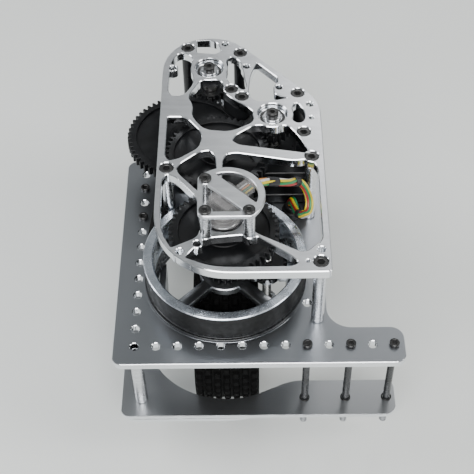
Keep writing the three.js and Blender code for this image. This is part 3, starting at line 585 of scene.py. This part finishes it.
def make_rail_bolt(node):
    """Black stud with a socketed end, plain between the plates and bright below them."""
    low, high = box(node)
    at = middle(node)
    lower, lower_top = box("lower_plate")[0].z, box("lower_plate")[1].z
    shank, head = 2.2, 1.7
    parts = [
        (cap_head(at, high.z, 2.95, head, 1.5, 1.2), OXIDE),
        (rod(at, shank, lower - 1, high.z - head + 0.05, 0.1, segments=12), BOLT_BLACK_AND_PAINTED_SHADE),
        (threaded(at, shank, low.z, lower - 0.9), ROD_ALU),
        (rod(at, shank + 1.0, lower_top + 0.05, lower_top + 0.7, 0.25, inner=2.25), OXIDE),
    ]
    piece(node + "_fine", parts, "frame", [node])


for node in ("rail_bolt_1", "rail_bolt_2", "rail_bolt_3"):
    make_rail_bolt(node)


# ---- motors and planetary housing --------------------------------------------------------
def make_motor(node):
    """Finned can with its bearing bore and six screws round its low end."""
    low, high = box(node)
    at = middle(node)
    r = (high.x - low.x) / 2
    grooves = 9
    deep = r - 1.1
    first, last = low.z + 12, high.z - 12
    step = (last - first) / grooves
    profile = [
        (5.4, low.z + 3), (5.4, low.z), (r - 3, low.z), (r - 1.2, low.z + 1.2), (r - 1.2, low.z + 6),
        (r, low.z + 7), (r, first),
    ]
    for i in range(grooves):
        z = first + i * step
        profile += [(x, z + part * step) for x, part in ((r, 0.3), (deep, 0.4), (deep, 0.8), (r, 0.9))]
    profile += [
        (r, high.z - 6), (r - 0.8, high.z - 5), (r - 0.8, high.z - 1.2), (r - 2, high.z), (5.4, high.z),
        (5.4, high.z - 11.9), (4.9, high.z - 11.95), (4.9, low.z + 3),
    ]
    parts = [(lathe(profile, at, "Z", 96), ANODISED)]
    for i in range(6):
        spot = on_circle(at, r - 6.5, TAU * i / 6)
        parts.append((rod(spot, 2.4, low.z - 0.01, low.z + 1.0, 0.3), OXIDE))
        parts.append((rod(spot, 1.1, low.z - 0.02, low.z + 0.4, 0.1), STEEL))
    piece(node + "_fine", parts, "frame", [node])


make_motor("steering_motor")
make_motor("drive_motor")


def make_housing():
    """Square gearbox in three bolted stages, hollow where the planets run."""
    low, high = box("planetary_housing")
    axis = JOINT["planetary_output_spin"]
    outline = softened(outermost(face_loops("planetary_housing"), axis), 1.2)
    ceiling = box("planet_carrier")[0].z + 12.0
    stages = [(low.z, low.z + 7.8, 24.2), (low.z + 7.8, ceiling, 24.2), (ceiling, high.z, 5.1)]
    parts = [(slab([outline, circle(axis, r)], z, top, 0.5), ANODISED) for z, top, r in stages]
    piece("planetary_housing_fine", parts, "frame", ["planetary_housing"])


make_housing()


# ---- shafts and bearings -----------------------------------------------------------------
PLANETS = 3
PLANET_ORBIT = 13.5


def shaft_end(at, top):
    """Washer and button screw on the end of an output shaft."""
    return [
        (rod(at, 5.6, top - 4.8, top - 3.6, 0.25, inner=2.0), BEARING_STEEL),
        (cap_head(at, top, 3.8, 3.6, 1.6, 1.9), OXIDE),
    ]


def make_shaft(node, body, low_disc=None):
    """Output shaft. low_disc is the height, thickness and radius of a disc with three pins under it."""
    low, high = box(node)
    centre = JOINT[body + "_spin"]
    bottom = low_disc[0] if low_disc else low.z
    parts = [(rod(centre, 4.75, bottom, high.z - 4.8, 0.3), STEEL)] + shaft_end(centre, high.z)
    if low_disc:
        z, thickness, r = low_disc
        parts.append((rod(centre, r, z, z + thickness, 0.4), STEEL))
        for i in range(PLANETS):
            spot = on_circle(centre, PLANET_ORBIT, TAU * i / PLANETS)
            parts.append((rod(spot, 2.0, low.z, z + 0.2, 0.3, segments=24), STEEL))
    piece(node + "_fine", parts, body, [node])


make_shaft("steering_motor_shaft", "steering_input")
CARRIER_LOW = box("planet_gear_1")[1].z + 0.3
make_shaft("planet_carrier", "planetary_output", (CARRIER_LOW, 2.4, 18.0))


def make_bearing(node, inner, outer):
    """Two steel rings with a dark shield between them."""
    low, high = box(node)
    at = middle(node)
    wall = (outer - inner) / 3
    shield = rod(at, outer - wall + 0.02, low.z + 0.4, high.z - 0.4, 0.1,
                 inner=inner + wall - 0.02, segments=96)
    parts = [
        (rod(at, outer, low.z, high.z, 0.3, inner=outer - wall, segments=96), BEARING_STEEL),
        (rod(at, inner + wall, low.z, high.z, 0.3, inner=inner, segments=96), BEARING_STEEL),
        (shield, OXIDE),
    ]
    piece(node + "_fine", parts, "frame", [node])


for node in ("steering_shaft_bearing", "drive_output_bearing"):
    make_bearing(node, 5.05, 9.2)
make_bearing("drive_shaft_bearing", 6.65, 11.05)


def make_race(node, body, extra=()):
    """Smooth ring in place of a faceted one, coloured black as painted shade."""
    low, high = box(node)
    at = middle(node)
    inner = min((v.co.xy / MM - at.xy).length for v in NODES[node].data.vertices) + 0.02
    ring = rod(at, (high.x - low.x) / 2, low.z, high.z, 0.25, inner=inner, segments=128)
    piece(node + "_fine", [(ring, BOLT_BLACK_AND_PAINTED_SHADE), *extra], body, [node])


# The lip on the middle plate takes the same darkened aluminium, a painted shade.
lip = rod(STEER, 50.7, MID_HIGH + 0.02, MID_HIGH + 0.3, 0.1, inner=48.9, segments=160)
make_race("turntable_race_outer", "frame", [(lip, MID_ALU_PAINTED_SHADE)])
make_race("turntable_race_inner", "turntable")


# ---- gears -------------------------------------------------------------------------------
def make_gear(node, body, centre, width, bore, web=None, hub_r=0.0, hub_rise=0.0):
    """
    Toothed rim from the CAD outline. web is the inner and outer radius of a thinner web, hub_r the
    radius of a hub as tall as the CAD gear, and hub_rise how far it stands above the teeth.
    """
    foot, top = box(node)[0].z, box(node)[1].z
    tooth_top = top - hub_rise
    low = tooth_top - width
    toothed = outermost(face_loops(node, tooth_top), centre)
    inner = web[1] if web else bore
    parts = [(slab([toothed, circle(centre, inner)], low, tooth_top, 0.22), GEAR_BLACK)]
    if web:
        start, end = web
        disc = slab([circle(centre, end + 0.05), circle(centre, bore)], low, tooth_top - 1.6, 0.2)
        parts.append((disc, GEAR_BLACK))
        parts.append((rod(centre, start, tooth_top - 1.7, tooth_top, 0.3, inner=bore), GEAR_BLACK))
    if hub_r:
        parts.append((rod(centre, hub_r, foot, top, 0.4, inner=bore, segments=64), GEAR_BLACK))
    piece(node + "_fine", parts, body, [node])


make_gear("drive_gear", "drive_column", STEER, 6.35, 6.65, (14, 27), hub_r=12.5, hub_rise=2.7)
make_gear("hub_gear", "hub_idler", JOINT["hub_gear_spin"], 7.0, 4.2, (11, 27))
make_gear("steering_gear", "counter", JOINT["counter_spin"], 6.35, 3.4, (11, 32))
make_gear("drive_pinion", "planetary_output", JOINT["planetary_output_spin"], 6.35, 5.05)
make_gear("steering_pinion", "steering_input", JOINT["steering_input_spin"], 6.35, 5.05)
make_gear("transfer_gear", "transfer", JOINT["transfer_spin"], 8.0, 3.1)
make_gear("centre_gear", "drive_column", STEER, 8.0, 6.65)


# ---- turntable pulley and belt -----------------------------------------------------------
PITCH_R = {"ring": 60 * 5 / TAU, "small": 18 * 5 / TAU}
BELT_LOW, BELT_HIGH = box("steering_belt")[0].z, box("steering_belt")[1].z
SPOKE_LOW, SPOKE_HIGH = 5.36, 10.76
LAND, GROOVE = 0.57, 1.9  # lands below the pitch line, and the grooves' depth


def grooved(at, teeth, land, depth, steps=6):
    """Outline of a toothed pulley: lands with rounded grooves."""
    points = []
    for i in range(teeth):
        for k in range(steps):
            t = k / steps
            dip = max(0.0, math.sin(math.pi * (t - 0.4) / 0.6)) if t > 0.4 else 0.0
            a = TAU * (i + t) / teeth
            points.append(on_circle(at, land - depth * dip, a))
    return points


def make_ring_pulley():
    """Ring with a toothed band between its crown and its sleeve, on four spokes."""
    low, high = box("steering_pulley")
    inner, outer = 43.2, 49.3
    teeth = slab([grooved(STEER, 60, PITCH_R["ring"] - LAND, GROOVE), circle(STEER, inner + 0.4)],
                 BELT_LOW - 0.6, BELT_HIGH + 0.6, 0.05)
    crown = [
        (inner + 0.7, BELT_HIGH + 0.5), (outer - 0.5, BELT_HIGH + 0.5), (outer, BELT_HIGH + 0.8),
        (outer, high.z - 0.4), (outer - 0.5, high.z), (inner + 0.9, high.z), (inner, high.z - 0.9),
        (inner, BELT_HIGH + 0.5),
    ]
    # The sleeve and the low flange by the belt are coloured black: painted shade.
    sleeve = [
        (inner, low.z + 0.5), (inner + 0.5, low.z), (49.2, low.z), (49.6, low.z + 0.4),
        (49.6, low.z + 3.8), (49.2, low.z + 4.2), (46.4, low.z + 4.2), (46.4, BELT_LOW - 2.0),
        (49.0, BELT_LOW - 1.8), (48.0, BELT_LOW - 1.5), (48.3, BELT_LOW - 1.0), (48.0, BELT_LOW - 0.5),
        (inner, BELT_LOW - 0.5),
    ]
    bore = rod(STEER, inner + 0.5, BELT_LOW - 0.55, BELT_HIGH + 0.55, 0.02, inner=inner, segments=160)
    hub = rod(STEER, 16, SPOKE_LOW, SPOKE_HIGH, 0.6, inner=2.25, segments=96)
    parts = [
        (teeth, RING_ALU), (lathe(crown, STEER, "Z", 160), RING_ALU),
        (lathe(sleeve, STEER, "Z", 160), BOLT_BLACK_AND_PAINTED_SHADE), (bore, RING_ALU), (hub, MID_ALU_PAINTED_SHADE),
    ]
    # The spokes and the boss, like the hub, take the darkened aluminium, a painted shade.
    middle_z = (SPOKE_LOW + SPOKE_HIGH) / 2
    thickness = SPOKE_HIGH - SPOKE_LOW
    for degrees in (45, 135, 225, 315):
        a = math.radians(degrees)
        spot = (*on_circle(STEER, 29, a), middle_z)
        parts.append((block((28.8, 7.5, thickness), spot, 0.5, a), MID_ALU_PAINTED_SHADE))
    boss = rod(JOINT["transfer_spin"], 8.6, SPOKE_LOW + 0.02, SPOKE_HIGH + 0.02, 0.5,
               inner=4.2, segments=64)
    parts.append((boss, MID_ALU_PAINTED_SHADE))
    for start, end in ((14.5, 19.0), (32.5, 43.6)):
        spot = (STEER.x + (start + end) / 2, STEER.y, middle_z)
        parts.append((block((end - start, 12, thickness - 0.1), spot, 0.4), MID_ALU_PAINTED_SHADE))
    piece("steering_pulley_fine", parts, "turntable", ["steering_pulley"])


make_ring_pulley()


def belt_path(offset):
    """Closed way round both pulleys at an offset from the pitch line."""
    counter = JOINT["counter_spin"]
    gap = counter.xy - STEER.xy
    heading = math.atan2(gap.y, gap.x)
    lean = math.acos((PITCH_R["ring"] - PITCH_R["small"]) / gap.length)
    points = []
    for centre, r, first, last, steps in (
        (counter.xy, PITCH_R["small"] + offset, heading - lean, heading + lean, 40),
        (STEER.xy, PITCH_R["ring"] + offset, heading + lean, heading - lean + TAU, 140),
    ):
        for i in range(steps + 1):
            a = first + (last - first) * i / steps
            points.append(on_circle(centre, r, a))
    return points


def resampled(points, count):
    """Points at even steps along a closed way, with the way's direction at each."""
    lengths = [(points[(i + 1) % len(points)] - p).length for i, p in enumerate(points)]
    total = sum(lengths)
    out, i, passed = [], 0, 0.0
    for k in range(count):
        want = total * k / count
        while passed + lengths[i] < want:
            passed += lengths[i]
            i += 1
        a, b = points[i], points[(i + 1) % len(points)]
        out.append((a.lerp(b, (want - passed) / lengths[i]), (b - a).normalized()))
    return out


def make_belt():
    teeth, steps = 78, 8
    inside = []
    for k, (p, way) in enumerate(resampled(belt_path(0.0), teeth * steps)):
        t = (k % steps) / steps
        rise = max(0.0, math.sin(math.pi * (t - 0.35) / 0.65)) if t > 0.35 else 0.0
        left = Vector((-way.y, way.x))
        inside.append(p + left * (0.5 + 1.75 * rise))
    outside = [p for p, _ in resampled(belt_path(1.12), 420)]
    band = slab([outside, inside], BELT_LOW, BELT_HIGH, 0.12)
    piece("steering_belt_fine", [(band, RUBBER)], "frame", ["steering_belt"])


make_belt()


def make_small_pulley():
    low, high = box("counter_pulley")
    at = JOINT["counter_spin"]
    bore = 3.4
    outline = grooved(at, 18, PITCH_R["small"] - LAND, GROOVE)
    parts = [(slab([outline, circle(at, bore)], BELT_LOW - 0.2, BELT_HIGH + 0.2, 0.05), ROD_ALU)]
    for r, start, end in (
        (16.6, BELT_HIGH + 0.25, BELT_HIGH + 1.3),
        (16.6, low.z, low.z + 1.1),
        (9.0, BELT_HIGH + 1.2, high.z),
    ):
        parts.append((rod(at, r, start, end, 0.3, inner=bore, segments=72), ROD_ALU))
    piece("counter_pulley_fine", parts, "counter", ["counter_pulley"])


make_small_pulley()


# ---- wheel -------------------------------------------------------------------------------
HALF_WHEEL = (box("wheel_tread")[1].x - box("wheel_tread")[0].x) / 2
TREAD_R = (box("wheel_tread")[1].z - box("wheel_tread")[0].z) / 2


def make_tread():
    """Rubber band with rows of staggered knobs."""
    rows, knobs, steps = 7, 44, 8
    groove, inner = 2.2, 43.5
    width = 2 * HALF_WHEEL / rows
    across = []
    for row in range(rows):
        start = -HALF_WHEEL + row * width
        for part, raised in ((0.0, False), (0.12, False), (0.26, True), (0.74, True), (0.88, False)):
            across.append((start + part * width, raised, row))
    across.append((HALF_WHEEL, False, rows - 1))
    around = knobs * steps
    rings = []
    for x, raised, row in across:
        shoulder = 1.2 * max(0.0, (abs(x) - HALF_WHEEL * 0.72) / (HALF_WHEEL * 0.28)) ** 2
        ring = []
        for i in range(around):
            t = (i / steps + 0.5 * (row % 2)) % 1.0
            height = min(1.0, max(0.0, (0.5 - abs(t - 0.5) - 0.12) / 0.1)) if raised else 0.0
            ring.append((x, TREAD_R - groove * (1 - height) - shoulder))
        rings.append(ring)
    rings += [[(x, inner)] * around for x in (HALF_WHEEL, -HALF_WHEEL)]
    bm = bmesh.new()
    grid = []
    for ring in rings:
        spots = [on_circle(WHEEL.yz, r, TAU * i / around) for i, (_, r) in enumerate(ring)]
        grid.append([bm.verts.new((WHEEL.x + x, *spot)) for (x, _), spot in zip(ring, spots)])
    bridge(bm, grid + grid[:1])
    piece("wheel_tread_fine", [(clean(bm), TREAD)], "wheel", ["wheel_tread"], smooth=24)


make_tread()


def make_rim():
    """Dished rim with a ring of six screws."""
    low, high = box("wheel_rim")
    c = WHEEL.x
    profile = [
        (5.3, c - 11), (12, c - 11), (13, c - 10), (33, c - 9.5), (36.4, c - 12), (37, low.x + 1),
        (38, low.x), (42.4, low.x), (43, low.x + 0.6), (43, high.x - 0.6), (42.4, high.x), (38, high.x),
        (37, high.x - 1), (36.6, c + 14.5), (34, c + 13.3), (5.3, c + 13.3),
    ]
    parts = [(lathe(profile, WHEEL, "X", 128), LOWER_ALU)]
    head = [(0, c - 12.3), (3.2, c - 12.3), (3.6, c - 11.9), (3.6, c - 9.4), (0, c - 9.4)]
    for i in range(6):
        spot = (c, *on_circle(WHEEL.yz, 22, TAU * i / 6))
        parts.append((lathe(head, spot, "X", 32, closed=False), OXIDE))
    piece("wheel_rim_fine", parts, "wheel", ["wheel_rim"])


make_rim()


def make_axle():
    low, high = box("wheel_axle")
    profile = chamfered(0.0, (high.z - low.z) / 2, low.x, high.x, 0.6)
    axle = lathe(profile, middle("wheel_axle"), "X", 48, closed=False)
    piece("wheel_axle_fine", [(axle, STEEL)], "turntable", ["wheel_axle"])


make_axle()


# ---- parts that keep their CAD shape, with broken edges ----------------------------------
for node, body, material, slot in (
    ("fork_left", "turntable", LOWER_ALU, "plate_aluminium"),
    ("fork_right", "turntable", LOWER_ALU, "plate_aluminium"),
    ("bevel_gear", "wheel", STEEL, "steel"),
    ("bevel_pinion", "transfer", STEEL, "steel"),
    ("planetary_ring", "frame", STEEL, "steel"),
    ("sun_gear", "sun", STEEL, "steel"),
    ("planet_gear_1", "planet_1", STEEL, "steel"),
    ("planet_gear_2", "planet_2", STEEL, "steel"),
    ("planet_gear_3", "planet_3", STEEL, "steel"),
):
    piece(node + "_fine", [(refined(node), material)], body, [node])


def make_pin(node, body):
    low, high = box(node)
    pin = rod(middle(node), (high.x - low.x) / 2, low.z, high.z, 0.4)
    piece(node + "_fine", [(pin, STEEL)], body, [node])


make_pin("hub_pin", "frame")
make_pin("counter_pin", "frame")
make_pin("transfer_shaft", "transfer")
make_pin("encoder_rod", "turntable")


def make_drive_shaft():
    """Hollow shaft with a collar."""
    low, high = box("drive_shaft")
    collar = 21.76
    profile = [
        (3.0, low.z), (6.0, low.z), (6.35, low.z + 0.35), (6.35, collar), (8.7, collar),
        (9.0, collar + 0.3), (9.0, collar + 3.7), (8.7, collar + 4), (6.35, collar + 4),
        (6.35, high.z - 0.5), (5.9, high.z), (3.4, high.z), (3.0, high.z - 0.4),
    ]
    shaft = lathe(profile, STEER, "Z", 72)
    piece("drive_shaft_fine", [(shaft, STEEL)], "drive_column", ["drive_shaft"])


make_drive_shaft()


# ---- encoder -----------------------------------------------------------------------------
def make_bracket():
    """Bracket of a triangle and a bow around it, on three posts."""
    low, high = box("encoder_bracket")
    plate_low = high.z - 3.0
    loops = face_loops("encoder_bracket")
    over_posts = [loop for loop in loops if as_circle(loop) and len(loop) <= 10]
    outlines = [softened(loop, 0.8) for loop in loops if loop not in over_posts]
    parts = [(slab(outlines, plate_low, high.z, 0.5), TOP_ALU)]
    for loop in over_posts:
        at = sum(loop, Vector((0, 0))) / len(loop)
        parts.append((rod(at, 3.4, low.z, plate_low + 0.05, 0.3), ROD_ALU))
        parts.append((cap_head(at, high.z + 1.5, 3.6, 1.5, 1.5, 1.1), OXIDE))
    piece("encoder_bracket_fine", parts, "frame", ["encoder_bracket"])


make_bracket()


def way_through(points, steps=8):
    """Smooth open way through the points."""
    points = [2 * points[0] - points[1], *points, 2 * points[-1] - points[-2]]
    out = []
    for a, b, c, d in zip(points, points[1:], points[2:], points[3:]):
        for k in range(steps):
            t = k / steps
            out.append(0.5 * (2 * b + (c - a) * t + (2 * a - 5 * b + 4 * c - d) * t * t
                              + (3 * b - a - 3 * c + d) * t ** 3))
    out.append(points[-2])
    return out


def directions(points):
    """The way's direction at each of its points."""
    last = len(points) - 1
    return [(points[min(i + 1, last)] - points[max(i - 1, 0)]).normalized() for i in range(last + 1)]


def tube(points, r, sides=12):
    """Round tube along the points, closed at both ends."""
    bm = bmesh.new()
    rings = []
    normal = directions(points)[0].orthogonal().normalized()
    for p, way in zip(points, directions(points)):
        normal = (normal - way * normal.dot(way)).normalized()
        side = way.cross(normal)
        angles = [TAU * k / sides for k in range(sides)]
        rings.append([bm.verts.new(p + (normal * math.cos(a) + side * math.sin(a)) * r) for a in angles])
    bridge(bm, rings)
    bm.faces.new(rings[0])
    bm.faces.new(rings[-1])
    return clean(bm)


CONNECTOR_TURN = math.pi / 4


def make_encoder():
    """Clear round body with rings inside, under a turned clear lid with a board and its chips."""
    base = TOP_HIGH
    inner, outer = 4.2, 10.6
    shell = [
        (inner, base + 0.4), (outer - 0.4, base + 0.4), (outer, base + 0.8), (outer, base + 9.2),
        (outer - 1.0, base + 10.3), (inner, base + 10.3),
    ]
    parts = [(lathe(shell, STEER, "Z", 96), CLEAR)]
    for i in range(4):
        z = base + 1.2 + 2.2 * i
        parts.append((rod(STEER, 9.4 - 0.5 * i, z, z + 1.1, 0.2, inner=4.6, segments=72), SMOKED))
    lid = Vector((STEER.x + 3.2, STEER.y + 2.2, base + 12.2))
    parts.append((block((17, 17, 8.6), lid, 1.4, CONNECTOR_TURN, 3), CLEAR))
    for size, offset, edge, material in (
        ((13.4, 13.4, 1.2), (0, 0, -2.6), 0.2, BOARD),
        ((14.2, 10.5, 2.0), (0, 0, -0.4), 0.3, SMOKED),
        ((8.4, 6.2, 2.2), (1.0, 1.0, 2.0), 0.3, MOULDED),
    ):
        parts.append((block(size, lid + Vector(offset), edge, CONNECTOR_TURN), material))
    piece("encoder_body_fine", parts, "frame", ["encoder_body"], smooth=40)


def make_connector():
    plug = middle("encoder_connector")
    out = Vector((math.cos(CONNECTOR_TURN), math.sin(CONNECTOR_TURN), 0))
    parts = [
        (block((8.2, 7.8, 5.8), plug, 0.5, CONNECTOR_TURN), CLEAR),
        (block((7.0, 6.6, 1.4), plug + Vector((0, 0, -1.8)), 0.2, CONNECTOR_TURN), MOULDED),
    ]
    for i, colour in enumerate(("yellow", "green", "orange", "white")):
        start = plug + Vector((-out.y, out.x, 0)) * (i - 1.5) * 1.6
        parts.append((tube([start - out * 3.2, start, start + out * 3.6], 0.5), INSULATION[colour]))
    piece("encoder_connector_fine", parts, "frame", ["encoder_connector"], smooth=40)


make_encoder()
make_connector()


# ---- wires -------------------------------------------------------------------------------
# Places on the middle plate are counted from its front left hole, at its upper face.
PLATE_ORIGIN = Vector((-120.65, 0, 4.76))
# The same route as in the CAD.
ROUTE = [PLATE_ORIGIN + Vector(spot) for spot in (
    (70.7, 68.7, 65.4), (76, 71, 64), (82, 75, 60), (88, 79, 55), (93, 84, 49.5), (97, 90, 44),
    (100.5, 91, 41), (103.4, 87, 39), (105, 80.5, 36), (104, 77, 31), (101, 80, 25), (98.5, 86, 20),
    (97, 94, 17), (96, 100, 15.5), (95.5, 102.5, 12.6), (95.5, 102.5, 10.6),
)]
WIRES = ["yellow", "white", "orange", "green", "yellow", "red", "green"]
WIRE_R = 0.85
# Start, end, radius and material of what holds the wires together, along the way from 0 to 1.
WRAPS = [(0.1, 0.17, 2.8, SLEEVING), (0.31, 0.37, 3.0, SLEEVING), (0.68, 0.72, 2.9, MOULDED)]


def make_harness():
    """Separate wires, twisted loosely, with wraps round them."""
    centre = way_through(ROUTE)
    last = len(centre) - 1
    parts = []
    for number, colour in enumerate(WIRES):
        line = []
        for i, (p, way) in enumerate(zip(centre, directions(centre))):
            side = way.cross(Vector((0, 0, 1))).normalized()
            up = side.cross(way)
            t = i / last
            spread = 1.75 + 0.7 * noise.noise(Vector((t * 6, number * 3.1, 0)))
            if t < 0.05:
                spread = 0.9
            a = TAU * number / len(WIRES) + 5.0 * t + 0.5 * noise.noise(Vector((t * 4, 7.7, number)))
            line.append(p + (side * math.cos(a) + up * math.sin(a)) * spread)
        parts.append((tube(line, WIRE_R), INSULATION[colour]))
    for start, end, r, material in WRAPS:
        parts.append((tube(centre[int(start * last):int(end * last) + 1], r, 20), material))
    piece("wire_harness_fine", parts, "frame", ["wire_harness"], smooth=50)


make_harness()


def make_socket():
    low, high = box("harness_socket")
    shoulder = low.z + 5.7
    profile = [
        (0, low.z), (5.6, low.z), (6, low.z + 0.4), (6, shoulder - 0.5), (5.4, shoulder), (4.4, shoulder),
        (4.4, high.z - 0.5), (3.9, high.z), (2.6, high.z), (2.4, high.z - 0.6), (0, high.z - 0.6),
    ]
    socket = lathe(profile, middle("harness_socket"), "Z", 64, closed=False)
    piece("harness_socket_fine", [(socket, MOULDED)], "frame", ["harness_socket"])


make_socket()

for number, y in enumerate((101.6, 127.0), 1):
    head = cap_head(Vector((PLATE_ORIGIN.x, y)), MID_HIGH + 2.0, 2.95, 1.9, 1.5, 1.2)
    piece(f"column_screw_{number}", [(head, OXIDE)], "frame")


# ---- floor and light ---------------------------------------------------------------------
FLOOR_Z = (box("wheel_tread")[0].z - 0.5) * MM


def add_stage():
    """Large floor of matte paper."""
    reach, cells = 12.0, 24
    steps = [reach * (2 * i / cells - 1) for i in range(cells + 1)]
    bm = bmesh.new()
    grid = [[bm.verts.new((x, y, FLOOR_Z)) for x in steps] for y in steps]
    for a, b in zip(grid, grid[1:]):
        for i in range(cells):
            bm.faces.new((a[i], a[i + 1], b[i + 1], b[i]))
    mesh = bpy.data.meshes.new("floor")
    bm.to_mesh(mesh)
    bm.free()
    n = Nodes("paper")
    n.shader.inputs["Specular IOR Level"].default_value = 0.2
    paper = n.ramp(n.noise(3, 3.0), [(0.3, (0.79, 0.81, 0.79)), (0.7, (0.83, 0.85, 0.83))])
    n.link(paper, n.shader.inputs["Base Color"])
    n.link(n.span(n.noise(40, 2.0), 0.8, 0.9), n.shader.inputs["Roughness"])
    mesh.materials.append(n.material)
    floor = bpy.data.objects.new("floor", mesh)
    bpy.context.scene.collection.objects.link(floor)


CENTRE = Vector((-0.05, 0.1, 0.0))


def add_light(name, place, size, power, colour=(1, 1, 1)):
    """Soft rectangular light that looks at the object."""
    data = bpy.data.lights.new(name, "AREA")
    data.shape = "RECTANGLE"
    data.size, data.size_y = size
    data.energy = power
    data.color = colour
    light = bpy.data.objects.new(name, data)
    light.location = place
    light.rotation_euler = (CENTRE - Vector(place)).to_track_quat("-Z", "Y").to_euler()
    bpy.context.scene.collection.objects.link(light)


add_stage()
add_light("rear_softbox", (0.35, 1.3, 1.0), (0.5, 0.5), 5)
add_light("left_softbox", (-1.1, 0.3, 0.9), (0.5, 0.9), 9, (0.97, 0.98, 1.0))
add_light("right_softbox", (1.1, -0.2, 0.9), (0.5, 0.9), 9, (1.0, 0.99, 0.97))
add_light("front_softbox", (-0.1, -1.1, 1.1), (1.4, 0.6), 26)

world = bpy.data.worlds.new("studio")
bpy.context.scene.world = world
world.use_nodes = True
background = world.node_tree.nodes["Background"]
background.inputs["Color"].default_value = (0.88, 0.92, 0.93, 1)
background.inputs["Strength"].default_value = 0.36
